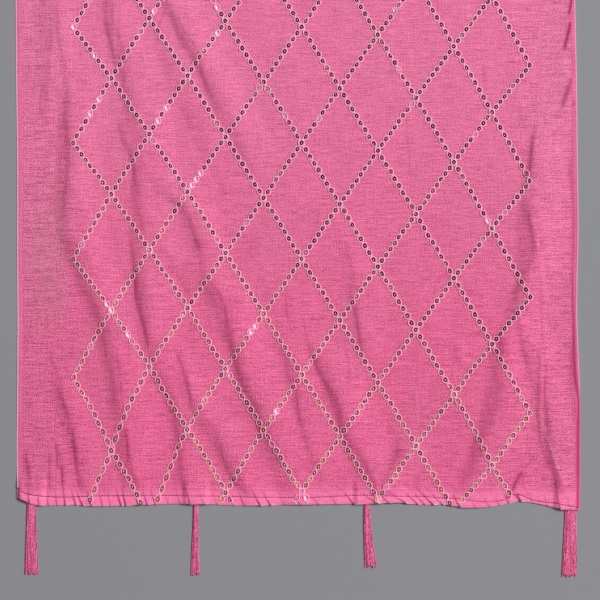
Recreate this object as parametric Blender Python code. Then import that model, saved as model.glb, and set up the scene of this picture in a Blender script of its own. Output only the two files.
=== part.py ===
"""Dupatta stole laid flat on a table.

One light woven panel with a narrow turned edge down each side, a turned and
puckered hem across each end, and four thread tassels tucked under each hem.
+X is right, +Y runs from the near end to the far end and +Z is up. The origin
is on the surface that the stole lies on, at the middle of the piece.
"""
import math
import random
from collections import namedtuple

import bmesh
import bpy
import numpy as np
from mathutils import Vector

MM = 0.001

Fold = namedtuple("Fold", "height left right crest")
PuckerRun = namedtuple("PuckerRun", "start stop spacing height")
Tassel = namedtuple("Tassel", "across root tip length threads lean")

# Driving sizes, in millimetres.
WIDTH = 562.0
LENGTH = 2000.0
WALL = 1.0  # the panel and what it carries, as one wall
EDGE_BAND = 5.0
EDGE_WALL = 1.3
HEM_BAND = 16.0
HEM_WALL = 1.7
STITCH_INSET = 8.5  # from the hem's outer edge to its line of stitching
# The hem's section: how far its top dips there, and its share of a pucker.
AT_EDGE = (0.25, 0.5)
AT_STITCHES = (0.5, 1.0)
AT_SEAM = (0.3, 0.7)
SEAM = 0.3

# The panel's grid: closer rows where the folds gather towards the near hem.
COLUMNS = 46
NEAR_ROWS = 16
NEAR_LENGTH = 560.0
FAR_ROWS = 25

# How the side edges wander from two straight lines: distance from the near
# hem, then the shift along x of the left and of the right edge.
SIDES = (
    # y, left, right
    (0, 0.5, 1.0),
    (60, -0.4, 1.2),
    (104, 0.0, 1.2),
    (144, 0.2, -0.4),
    (184, 0.5, -2.0),
    (224, 0.1, -1.8),
    (264, 0.0, -0.8),
    (344, 0.0, -1.5),
    (424, -0.9, -2.4),
    (504, -1.5, -4.0),
    (760, -0.6, -2.4),
    (1040, 0.8, -0.6),
    (1330, -0.6, 0.6),
    (1620, 0.4, -1.4),
    (1860, -0.8, 0.2),
    (2000, -1.0, -0.5),
)

# The near hem's outer edge: across from the middle, then outwards (down).
HEM_LINE = (
    # x, out
    (-281, -7.0),
    (-271, -2.5),
    (-262, 0.5),
    (-250, 1.0),
    (-224, 0.2),
    (-200, 1.7),
    (-160, 0.2),
    (-98, -0.6),
    (-60, 1.0),
    (-20, 0.3),
    (66, -0.9),
    (102, -2.0),
    (126, 0.0),
    (145, -0.3),
    (168, 2.8),
    (190, 2.4),
    (212, -1.6),
    (221, -3.6),
    (236, -1.4),
    (262, 4.0),
    (281, 5.5),
)

# Soft creases: height, how far the left and the right flank reach, and the
# crest as points of y from the near hem and x.
FOLD_ROWS = (
    # height, left flank, right flank, crest
    (3.8, 20, 36, ((8, -160), (105, -173), (185, -189), (225, -207), (288, -225), (345, -223), (480, -222))),
    (3.4, 20, 34, ((8, -106), (105, -117), (145, -137), (205, -147), (372, -153), (485, -177), (590, -188))),
    (3.2, 18, 32, ((320, -34), (395, -69), (448, -95), (500, -123), (580, -158))),
    (1.6, 18, 28, ((320, -75), (375, -91), (425, -115), (480, -139), (545, -160))),
    (2.6, 18, 30, ((222, -80), (288, -103), (346, -146))),
    (4.0, 20, 38, ((8, 0), (76, -25), (112, -41), (184, -65), (224, -85), (266, -124))),
    (3.0, 18, 30, ((8, -42), (68, -78), (104, -98), (150, -112))),
    (2.2, 18, 30, ((8, 33), (64, 17), (144, -3), (196, -22))),
    (4.0, 20, 36, ((6, 92), (56, 63), (112, 43), (175, 16))),
    (1.6, 18, 28, ((130, 70), (176, 68), (274, 53))),
    (2.6, 18, 26, ((6, 84), (40, 102), (72, 118))),
    (4.0, 20, 36, ((4, 166), (84, 199), (156, 211), (216, 231), (312, 239), (390, 243))),
    (2.8, 18, 26, ((6, 268), (104, 250), (194, 229))),
    (2.4, 18, 26, ((6, -203), (52, -215), (135, -238))),
    (1.8, 18, 24, ((395, -246), (540, -245))),
    (3.4, 22, 38, ((590, -196), (760, -152), (940, -120))),
    (2.2, 20, 34, ((630, -66), (780, -20), (905, 32))),
    (3.0, 22, 36, ((540, 116), (700, 150), (870, 140))),
    (3.4, 22, 34, ((610, 232), (820, 222), (1010, 232))),
    (3.0, 20, 34, ((890, -232), (1080, -212), (1260, -222))),
    (3.6, 22, 38, ((970, -92), (1120, -60), (1300, -76))),
    (2.6, 20, 34, ((1000, 58), (1150, 86), (1310, 70))),
    (3.8, 22, 40, ((1110, 192), (1300, 160), (1470, 118))),
    (3.0, 20, 36, ((1300, -162), (1450, -130), (1630, -152))),
    (2.4, 20, 34, ((1340, -2), (1500, 28), (1650, 10))),
    (4.0, 22, 36, ((1590, -232), (1760, -214), (1992, -176))),
    (3.4, 20, 36, ((1640, -60), (1800, -92), (1992, -142))),
    (4.0, 22, 38, ((1550, 102), (1760, 60), (1994, 16))),
    (3.4, 22, 32, ((1610, 232), (1800, 214), (1992, 236))),
    (2.6, 20, 32, ((1800, 142), (1900, 120), (1992, 84))),
    (2.2, 18, 30, ((1690, -10), (1850, -26), (1992, -58))),
)
FOLDS = [Fold(*row) for row in FOLD_ROWS]
FOLD_FADE = 0.22  # share of a fold's length over which it rises and dies away
HEM_KEEP = 0.45  # how much of a fold's height the stiffer hem keeps
HEM_REACH = 70.0  # how far from the hem the folds have their full height again
END_REACH = 20.0  # a fold that comes this near a hem runs into it

# Puckers along the stitched hem, a run to a row.
PUCKER_ROWS = (
    # start, stop, spacing, height
    (-276, -180, 11.5, 0.55),
    (-180, -165, 5.0, 0.35),
    (-165, 72, 13.5, 0.40),
    (72, 164, 7.6, 0.95),
    (164, 220, 10.5, 0.60),
    (220, 276, 8.0, 0.70),
)
PUCKERS = [PuckerRun(*row) for row in PUCKER_ROWS]

# Tassels under each hem: place across, width at the root and at the tip,
# length past the hem's edge, threads in a layer, and how far the tip leans.
TASSEL_ROWS = (
    # across, root, tip, length, threads, lean
    (-267.0, 9.5, 15.0, 71.0, 11, 0.5),
    (-102.0, 5.0, 10.0, 71.5, 7, -0.5),
    (68.5, 5.5, 12.5, 64.5, 8, 4.0),
    (272.5, 12.5, 16.5, 67.5, 14, -1.5),
)
TASSELS = [Tassel(*row) for row in TASSEL_ROWS]
THREAD_LAYERS = 2
THREAD_GAP = 0.3
THREAD_STEPS = 2
THREAD_UNEVEN = 3.0
THREAD_STRAY = 0.35
HEAD_LENGTH = 7.0
HEAD_THICK = 1.4
HEAD_TUCK = 2.0  # how far inside the hem's edge the threads leave the head
HEAD_ROOM = 6.0  # the hem stays raised this far past the head, then comes down

COLOURS = {
    # sRGB colour, roughness
    "panel": ((0.88, 0.44, 0.60), 0.75),
    "edge": ((0.93, 0.42, 0.60), 0.75),
    "hem": ((0.94, 0.43, 0.61), 0.75),
    "tassel": ((0.78, 0.30, 0.46), 0.55),
}


def finish(name):
    """A Principled material in one of the stole's colours."""
    colour, roughness = COLOURS[name]
    material = bpy.data.materials.new(name)
    material.use_nodes = True
    shader = material.node_tree.nodes["Principled BSDF"]
    linear = [((c + 0.055) / 1.055) ** 2.4 for c in colour]
    shader.inputs["Base Color"].default_value = (*linear, 1.0)
    shader.inputs["Roughness"].default_value = roughness
    shader.inputs["Metallic"].default_value = 0.0
    return material


def smooth(t):
    """Eases 0 to 1, flat at both ends."""
    t = np.clip(t, 0.0, 1.0)
    return t * t * (3.0 - 2.0 * t)


def eased(at, points, column=1):
    """A smooth curve through the rows of a table, read at these places."""
    rows = np.array(points, float)
    places, values = rows[:, 0], rows[:, column]
    slopes = np.gradient(values, places)
    i = np.clip(np.searchsorted(places, at) - 1, 0, len(places) - 2)
    span = places[i + 1] - places[i]
    t = np.clip((at - places[i]) / span, 0.0, 1.0)
    start = (1 + 2 * t) * (1 - t) ** 2 * values[i] + t * (1 - t) ** 2 * span * slopes[i]
    end = t * t * (3 - 2 * t) * values[i + 1] + t * t * (t - 1) * span * slopes[i + 1]
    return start + end


def crease(x, y, fold):
    """The lift of one fold: a soft ridge, steeper on its left."""
    first, last = fold.crest[0][0], fold.crest[-1][0]
    across = x - eased(y, fold.crest)
    u = np.where(across < 0, across / fold.left, across / fold.right)
    ridge = np.where(np.abs(u) < 1, (1 - u * u) ** 2, 0.0)
    share = (y - first) / (last - first)
    rise = np.ones_like(y) if first < END_REACH else smooth(share / FOLD_FADE)
    fall = np.ones_like(y) if last > LENGTH - END_REACH else smooth((1 - share) / FOLD_FADE)
    inside = (y >= first - END_REACH) & (y <= last + END_REACH)
    return fold.height * ridge * rise * fall * inside


def lift(x, y):
    """How far the cloth's underside stands off the surface, in millimetres."""
    x, y = np.asarray(x, float), np.asarray(y, float)
    total = sum(crease(x, y, fold) for fold in FOLDS)
    from_end = np.minimum(y, LENGTH - y)
    calm = HEM_KEEP + (1 - HEM_KEEP) * smooth(from_end / HEM_REACH)
    along = np.where(y < LENGTH / 2, x, -x)
    over_heads = sum(
        smooth(2.0 - (np.abs(along - tassel.across) - tassel.root / 2) / HEAD_ROOM)
        for tassel in TASSELS
    )
    return total * calm + (HEAD_THICK + SEAM) * over_heads * smooth(2.0 - from_end / HEM_BAND)


def side(y, which):
    """The x of the left (-1) or right (1) outer edge at this distance from the near hem."""
    column = 1 if which < 0 else 2
    return which * (WIDTH / 2) + eased(y, SIDES, column)


def hem_out(x, far):
    """How far the hem's outer edge stands out from its straight line."""
    return eased(np.asarray(-x if far else x, float), HEM_LINE)


def pucker(x, far):
    """The height of the hem's puckers here."""
    along = -x if far else x
    for run in PUCKERS:
        if run.start <= along < run.stop:
            turns = (along - run.start) / (run.stop - run.start) * pucker_count(run)
            uneven = 0.7 + 0.3 * math.sin(2.3 * turns + run.start)
            return run.height * uneven * (0.5 - 0.5 * math.cos(2 * math.pi * turns))
    return 0.0


def pucker_count(run):
    return round((run.stop - run.start) / run.spacing)


def place(x, y, z):
    """A point of the stole in metres, from the middle, the near hem and the surface."""
    return (x * MM, (y - LENGTH / 2) * MM, z * MM)


def add_object(name, bm, finish_name, finishes):
    mesh = bpy.data.meshes.new(name)
    bm.to_mesh(mesh)
    bm.free()
    mesh.shade_smooth()
    mesh.set_sharp_from_angle(angle=math.radians(40))
    mesh.materials.append(finishes[finish_name])
    item = bpy.data.objects.new(name, mesh)
    bpy.context.scene.collection.objects.link(item)
    return item


def slab(under, over):
    """A closed wall from two grids of points, rows by columns."""
    bm = bmesh.new()
    low = [[bm.verts.new(p) for p in row] for row in under]
    top = [[bm.verts.new(p) for p in row] for row in over]
    rows, columns = len(under), len(under[0])
    for r in range(rows - 1):
        for c in range(columns - 1):
            bm.faces.new((top[r][c], top[r][c + 1], top[r + 1][c + 1], top[r + 1][c]))
            bm.faces.new((low[r][c], low[r + 1][c], low[r + 1][c + 1], low[r][c + 1]))
    rim = [(0, c) for c in range(columns)]
    rim += [(r, columns - 1) for r in range(1, rows)]
    rim += [(rows - 1, c) for c in range(columns - 2, -1, -1)]
    rim += [(r, 0) for r in range(rows - 2, 0, -1)]
    for (r0, c0), (r1, c1) in zip(rim, rim[1:] + rim[:1]):
        bm.faces.new((low[r0][c0], low[r1][c1], top[r1][c1], top[r0][c0]))
    bmesh.ops.recalc_face_normals(bm, faces=bm.faces)
    return bm


def row_places():
    """The panel's rows, from hem to hem, closer together towards the near one."""
    cut = HEM_BAND + SEAM
    near = np.linspace(cut, NEAR_LENGTH, NEAR_ROWS, endpoint=False)
    far = np.linspace(NEAR_LENGTH, LENGTH - cut, FAR_ROWS)
    return np.concatenate([near, far])


def cloth_panel(finishes):
    under, over = [], []
    for y in row_places():
        left = side(y, -1) + EDGE_BAND + SEAM
        right = side(y, 1) - EDGE_BAND - SEAM
        low_row, top_row = [], []
        for x in np.linspace(left, right, COLUMNS):
            z = float(lift(x, y))
            low_row.append(place(x, y, z))
            top_row.append(place(x, y, z + WALL))
        under.append(low_row)
        over.append(top_row)
    return add_object("cloth_panel", slab(under, over), "panel", finishes)


def side_edge(name, which, finishes):
    """The narrow turned edge down one long side."""
    under, over = [], []
    for y in row_places():
        outer = side(y, which)
        inner = outer - which * EDGE_BAND
        z = float(lift(inner - which * SEAM, y))
        ends = sorted((outer, inner))
        under.append([place(x, y, z) for x in ends])
        over.append([place(x, y, z + EDGE_WALL) for x in ends])
    return add_object(name, slab(under, over), "edge", finishes)


def hem_sections(far):
    """Where the hem is cut across: at each pucker's crest and at the dip beside it."""
    places = []
    for run in PUCKERS:
        steps = 2 * pucker_count(run)
        places += [run.start + (run.stop - run.start) * k / steps for k in range(steps)]
    if far:
        places = [-x for x in places]
    end = LENGTH if far else 0.0
    return sorted([*places, side(end, -1), side(end, 1)])


def hem(name, far, finishes):
    """A turned hem: a thicker band, pulled down along its stitches and puckered."""
    outward = 1 if far else -1
    end = LENGTH if far else 0.0
    sections = hem_sections(far)
    under, over = [], []
    for x in sections:
        rise = pucker(x, far)
        outer = end + outward * hem_out(x, far)
        inner = end - outward * HEM_BAND
        stitched = outer - outward * STITCH_INSET
        low_row, top_row = [], []
        for y, dip, share in ((outer, *AT_EDGE), (stitched, *AT_STITCHES), (inner, *AT_SEAM)):
            z = float(lift(x, y))
            low_row.append(place(x, y, z))
            top_row.append(place(x, y, z + HEM_WALL - dip + rise * share))
        under.append(low_row)
        over.append(top_row)
    return add_object(name, slab(under, over), "hem", finishes)


def tassel_head(bm, row):
    """A small flat block; returns the cells of its front, one for each thread."""
    threads = row.threads

    def corner(i, k):
        x = row.root * (i / threads - 0.5)
        return bm.verts.new((x, HEAD_LENGTH, HEAD_THICK * k / THREAD_LAYERS))

    grid = [[corner(i, k) for i in range(threads + 1)] for k in range(THREAD_LAYERS + 1)]
    back = [
        bm.faces.new((grid[k][i], grid[k][i + 1], grid[k + 1][i + 1], grid[k + 1][i]))
        for k in range(THREAD_LAYERS)
        for i in range(threads)
    ]
    front = bmesh.ops.extrude_face_region(bm, geom=back, use_keep_orig=True)["geom"]
    moved = [v for v in front if isinstance(v, bmesh.types.BMVert)]
    bmesh.ops.translate(bm, verts=moved, vec=(0, -HEAD_LENGTH, 0))
    return [f for f in front if isinstance(f, bmesh.types.BMFace)]


def draw_threads(bm, cells, row, seed):
    """Draws each cell of the head's front out into a thread that stands apart."""
    draw = random.Random(seed)
    spread = row.tip / row.root - 1
    bmesh.ops.inset_individual(bm, faces=cells, thickness=THREAD_GAP / 2, use_even_offset=True)
    for number, cell in enumerate(cells):
        start = cell.calc_center_median()
        shorter = 0.0 if number == row.threads // 2 else draw.uniform(0.3, THREAD_UNEVEN)
        reach = HEAD_TUCK + row.length - shorter
        stray = draw.uniform(-THREAD_STRAY, THREAD_STRAY)
        for step in range(1, THREAD_STEPS + 1):
            share = step / THREAD_STEPS
            x = start.x * (1 + spread * share) + row.lean * share**2 + stray * share
            cell = bmesh.ops.extrude_discrete_faces(bm, faces=[cell])["faces"][0]
            move = Vector((x, -reach * share, start.z)) - cell.calc_center_median()
            bmesh.ops.translate(bm, verts=cell.verts, vec=move)


def tassel(name, row, far, seed, finishes):
    """A flat thread tassel: a small head tucked under the hem, its threads lying outwards."""
    bm = bmesh.new()
    draw_threads(bm, tassel_head(bm, row), row, seed)
    turn = -1 if far else 1
    end = LENGTH if far else 0.0
    x = turn * row.across
    tucked = HEAD_TUCK - hem_out(x, far)
    for vert in bm.verts:
        vert.co = place(x + turn * vert.co.x, end + turn * (tucked + vert.co.y), vert.co.z)
    return add_object(name, bm, "tassel", finishes)


def build():
    for item in list(bpy.data.objects):
        bpy.data.objects.remove(item, do_unlink=True)
    finishes = {name: finish(name) for name in COLOURS}
    cloth_panel(finishes)
    side_edge("side_edge_left", -1, finishes)
    side_edge("side_edge_right", 1, finishes)
    for far, end in ((False, "near"), (True, "far")):
        hem(f"hem_{end}", far, finishes)
        for number, row in enumerate(TASSELS, 1):
            tassel(f"tassel_{end}_{number}", row, far, number + 10 * far, finishes)


build()
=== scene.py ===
"""Dupatta stole laid flat on a table: its looks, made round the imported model.

+X is right, +Y runs from the near end to the far end and +Z is up. The origin
is on the table at the middle of the stole. Tables and functions of the form
are in millimetres, with y counted from the near hem's straight line; `place`
turns them into metres of the frame. Properties are in metres, and so are the
places that a finish reads.
"""

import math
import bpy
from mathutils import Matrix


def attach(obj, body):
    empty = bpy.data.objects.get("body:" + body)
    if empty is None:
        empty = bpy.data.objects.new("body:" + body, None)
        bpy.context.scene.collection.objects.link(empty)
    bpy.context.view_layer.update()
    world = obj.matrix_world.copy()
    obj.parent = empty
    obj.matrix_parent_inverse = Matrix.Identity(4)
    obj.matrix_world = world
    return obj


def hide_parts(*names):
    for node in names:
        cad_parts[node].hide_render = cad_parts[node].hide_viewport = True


bl_info = {
    "name": "Dupatta Stole",
    "version": (1, 0, 0),
    "blender": (4, 5, 0),
    "location": "View3D > Sidebar > Stole",
    "description": "Builds a laid-out dupatta stole with sequin lattice and thread tassels",
    "category": "Add Mesh",
}

from collections import namedtuple

import bpy
import numpy as np
from mathutils import Matrix, Vector

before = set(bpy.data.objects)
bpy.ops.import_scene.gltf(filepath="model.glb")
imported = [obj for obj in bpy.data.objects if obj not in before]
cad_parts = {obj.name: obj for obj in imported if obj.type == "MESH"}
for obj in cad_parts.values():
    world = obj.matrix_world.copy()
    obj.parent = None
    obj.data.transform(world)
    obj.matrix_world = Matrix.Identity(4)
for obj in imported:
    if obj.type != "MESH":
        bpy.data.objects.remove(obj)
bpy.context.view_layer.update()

MM = 0.001
SHARP_ANGLE = 50.0  # faces that meet at more degrees than this keep a sharp edge

Fold = namedtuple("Fold", "height left right crest")
Crinkle = namedtuple("Crinkle", "height half crest")
Crease = namedtuple("Crease", "height flank line")
Ripple = namedtuple("Ripple", "height wide long turn")
Gather = namedtuple("Gather", "stitches fold depth")
Tuck = namedtuple("Tuck", "x1 y1 x2 y2 half depth")
Tassel = namedtuple("Tassel", "across root tip length threads lean")
Pull = namedtuple("Pull", "x y wide long depth")
Glint = namedtuple("Glint", "x y reach")
End = namedtuple("End", "name turn line")


def listed(kind, *rows):
    """The rows of a table, each with its values named."""
    return [kind(*row) for row in rows]


def copied(line, y_from, y_times, x_from, x_times):
    """A line like this one elsewhere: its y and x multiplied, and counted from a new start."""
    points = sorted((y_from + y_times * y, x_from + x_times * x) for y, x in line[-1])
    return line._replace(**{line._fields[-1]: points})


def spread(kind, *rows):
    """The near half's creases or lines, and others like them along the hidden half.

    Those are the near ones turned about the middle and drawn out lengthwise,
    and between the two some of them moved on.
    """
    near = listed(kind, *rows)
    middle = [copied(line, *MIDDLE_COPY) for line in near[::MIDDLE_EVERY]]
    return near + middle + [copied(line, *FAR_COPY) for line in near]


# ---------------------------------------------------------------- the form

WIDTH = 562.0
LENGTH = 2000.0
WALL = 1.0
EDGE_BAND = 5.0
HEM_BAND = 17.0
HEAD_THICK = 1.4
HEAD_ROOM = 6.0
SEAM = 0.3
# The far end is the near one turned half way round, so each has its own turn.
ENDS = (End("near", 1, 0.0), End("far", -1, LENGTH))
# Where the copies of the near half's lines start, and how much they are drawn out, along y and x.
FAR_COPY = (LENGTH, -1.2, 8.0, -0.97)
MIDDLE_COPY = (500.0, 1.9, 14.0, 0.9)
MIDDLE_EVERY = 3

# Distance from the near hem, then the shift along x of each long edge.
SIDES = (
    # y, left, right
    (0, 0.5, 1.0), (60, -0.4, 1.2), (104, 0.0, 1.2), (144, 0.2, -0.4), (184, 0.5, -2.0),
    (224, 0.1, -1.8), (264, 0.0, -0.8), (344, 0.0, -1.5), (424, -0.9, -2.4), (504, -1.5, -4.0),
    (760, -0.6, -2.4), (1040, 0.8, -0.6), (1330, -0.6, 0.6), (1620, 0.4, -1.4), (1860, -0.8, 0.2),
    (2000, -1.0, -0.5),
)
# The near hem's outer edge: across from the middle, then outwards.
HEM_LINE = (
    # x, out
    (-281, -7.0), (-271, -2.5), (-262, 0.5), (-250, 1.0), (-224, 0.2), (-200, 1.7), (-160, 0.2),
    (-98, -0.6), (-60, 1.0), (-20, 0.3), (66, -0.9), (102, -2.0), (126, 0.0), (145, -0.3), (168, 2.8),
    (190, 2.4), (212, -1.6), (221, -3.6), (236, -1.4), (262, 4.0), (281, 5.5),
)
# The near hem's line of stitches: across, then inwards from the straight line.
STITCH_LINE = (
    # x, y
    (-281, 15.0), (-269, 10.5), (-260, 9.1), (-188, 9.0), (-98, 8.8), (-34, 7.5), (17, 7.5), (66, 9.5),
    (102, 8.5), (128, 8.1), (144, 6.5), (160, 6.1), (171, 4.5), (204, 4.5), (211, 7.0), (220, 10.0),
    (232, 5.4), (259, 1.2), (277, -2.0), (281, -2.6),
)

# Soft folds: height, reach of the left and the right flank, and the crest as
# points of y and x. A positive lift everywhere, as the cloth lies on a table.
FOLDS = listed(
    Fold,
    # height, left flank, right flank, crest
    (3.8, 20, 36, ((8, -160), (105, -173), (185, -189), (225, -207), (288, -225), (345, -223), (480, -222))),
    (3.4, 20, 34, ((8, -106), (105, -117), (145, -137), (205, -147), (372, -153), (485, -177), (590, -188))),
    (3.2, 18, 32, ((320, -34), (395, -69), (448, -95), (500, -123), (580, -158))),
    (1.6, 18, 28, ((320, -75), (375, -91), (425, -115), (480, -139), (545, -160))),
    (2.6, 18, 30, ((222, -80), (288, -103), (346, -146))),
    (4.0, 20, 38, ((8, 0), (76, -25), (112, -41), (184, -65), (224, -85), (266, -124))),
    (3.0, 18, 30, ((8, -42), (68, -78), (104, -98), (150, -112))),
    (2.2, 18, 30, ((8, 33), (64, 17), (144, -3), (196, -22))),
    (4.0, 20, 36, ((6, 92), (56, 63), (112, 43), (175, 16))),
    (1.6, 18, 28, ((130, 70), (176, 68), (274, 53))), (2.6, 18, 26, ((6, 84), (40, 102), (72, 118))),
    (4.0, 20, 36, ((4, 166), (84, 199), (156, 211), (216, 231), (312, 239), (390, 243))),
    (2.8, 18, 26, ((6, 268), (104, 250), (194, 229))),
    (2.4, 18, 26, ((6, -203), (52, -215), (135, -238))), (1.8, 18, 24, ((395, -246), (540, -245))),
    (3.4, 22, 38, ((590, -196), (760, -152), (940, -120))),
    (2.2, 20, 34, ((630, -66), (780, -20), (905, 32))),
    (3.0, 22, 36, ((540, 116), (700, 150), (870, 140))),
    (3.4, 22, 34, ((610, 232), (820, 222), (1010, 232))),
    (3.0, 20, 34, ((890, -232), (1080, -212), (1260, -222))),
    (3.6, 22, 38, ((970, -92), (1120, -60), (1300, -76))),
    (2.6, 20, 34, ((1000, 58), (1150, 86), (1310, 70))),
    (3.8, 22, 40, ((1110, 192), (1300, 160), (1470, 118))),
    (3.0, 20, 36, ((1300, -162), (1450, -130), (1630, -152))),
    (2.4, 20, 34, ((1340, -2), (1500, 28), (1650, 10))),
    (4.0, 22, 36, ((1590, -232), (1760, -214), (1992, -176))),
    (3.4, 20, 36, ((1640, -60), (1800, -92), (1992, -142))),
    (4.0, 22, 38, ((1550, 102), (1760, 60), (1994, 16))),
    (3.4, 22, 32, ((1610, 232), (1800, 214), (1992, 236))),
    (2.6, 20, 32, ((1800, 142), (1900, 120), (1992, 84))),
    (2.2, 18, 30, ((1690, -10), (1850, -26), (1992, -58))),
)
FOLD_FADE = 0.22  # the share of a fold's length over which it sets in, and dies out
FOLD_EASE = 0.75  # the creases that lie on the folds make up the rest of their height
HEM_KEEP = 0.45  # how much of the folds' height is left at a hem
HEM_REACH = 70.0
END_REACH = 20.0  # a fold that ends closer than this to a hem runs right through it

# Pressed-in lines and pinched ridges, narrower than the folds.
CRINKLES = listed(
    Crinkle,
    # height, half width, crest
    (1.1, 4.5, ((8, 259), (28, 257), (64, 244), (120, 242), (176, 245))),
    (0.9, 4.0, ((14, 268), (28, 262), (46, 255), (66, 247))),
    (0.5, 3.5, ((112, 251), (176, 246), (250, 243))), (0.4, 3.0, ((472, -183), (500, -184))),
    (0.4, 3.0, ((418, -173), (458, -172))), (0.4, 3.0, ((112, 120), (150, 121))),
    (0.8, 3.5, ((4, 207), (30, 232))), (0.9, 9.0, ((48, 232), (56, 217), (66, 202))),
)
CRINKLE_FADE = 0.25
# Lines that packing pressed into the cloth: sharp, thin grooves darkened with painted shade, or raised lines
# paled with a painted highlight.
PRESSES = spread(
    Crinkle,
    # strength, half width, line
    (0.7, 3.0, ((2, 259), (14, 258.4), (30, 256.3), (47, 252), (66, 246.3), (86, 240))),
    (-0.8, 2.0, ((30, 262.5), (44, 257.5), (66, 250), (92, 240.5))),
    (0.5, 2.6, ((66, 253), (84, 250), (104, 247), (140, 246))),
    (0.6, 3.6, ((22, -268), (36, -269.5), (54, -274))),
    (0.8, 2.6, ((32, -240), (46, -241), (66, -243))), (0.85, 2.2, ((14, -235), (42, -236.5))),
    (0.8, 3.0, ((30, -221.8), (50, -223), (78, -225.5))), (0.6, 2.0, ((10, -218.5), (40, -222))),
    (0.65, 3.0, ((10, -247.5), (56, -249.5))), (0.8, 2.6, ((42, -169), (60, -170.5), (80, -172.5))),
    (0.4, 2.6, ((18, -162), (46, -168))), (-0.5, 1.8, ((440, -183), (502, -184.5))),
    (0.5, 2.4, ((434, -183), (454, -185.5), (472, -190.5), (494, -198))),
    (0.4, 2.4, ((426, -166), (454, -175.5), (482, -181.5))), (0.45, 2.2, ((470, -142), (498, -132))),
    (0.5, 3.0, ((408, -88), (432, -96.8), (447, -98), (472, -113), (498, -127))),
    (0.6, 2.6, ((300, -157), (324, -163), (344, -165.5), (364, -175.5), (394, -182))),
    (-0.3, 1.8, ((310, -170), (372, -171))), (0.4, 3.6, ((384, -255.5), (404, -258), (426, -252))),
    (0.3, 2.4, ((370, -101), (404, -123))),
    (0.9, 2.8, ((150, -149), (179, -154.3), (204, -162), (238, -162))),
    (0.75, 2.2, ((92, -105.5), (119, -110.5), (142, -118), (166, -128))),
    (0.35, 2.2, ((170, -190), (200, -190.5))), (-0.45, 1.8, ((110, -190), (160, -190))),
    (0.5, 2.6, ((100, -175), (120, -176.8), (158, -182.5))),
    (0.5, 4.0, ((74, -220), (97, -233), (124, -238), (160, -255))),
    (0.7, 3.0, ((164, -72.5), (204, -75.5), (217, -83), (232, -97))),
    (0.35, 2.2, ((182, -66.5), (214, -68.5))), (0.6, 3.0, ((204, -104), (224, -118), (246, -137))),
    (0.6, 3.0, ((252, -96), (270, -106))), (0.5, 2.8, ((138, 68.5), (164, 62), (184, 58.2), (208, 55))),
    (0.6, 3.2, ((78, 46), (107, 37), (129, 22), (154, 13))),
    (0.4, 2.2, ((118, 52.5), (134, 50.8), (170, 45))), (-0.35, 1.8, ((76, 121), (134, 116.5))),
    (0.4, 3.0, ((140, 158), (158, 151))), (0.55, 2.2, ((418, 186), (440, 184.2))),
    (0.3, 2.4, ((310, 114), (404, 106.5))), (0.4, 3.0, ((138, 18), (164, 9.5), (196, 2))),
    (0.4, 3.0, ((182, -10), (208, -13.5))), (0.6, 3.2, ((76, 2.5), (124, -3.5))),
    (0.7, 3.0, ((318, 230), (345, 232), (374, 235))),
    (0.5, 4.0, ((244, 236), (264, 234.5), (284, 231), (304, 229))),
)
PRESS_DEPTH = 0.3  # how far the strongest line is pressed down
PRESS_HIGHLIGHT = 0.26  # the painted highlight on a raised line, as a share of its strength
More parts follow.
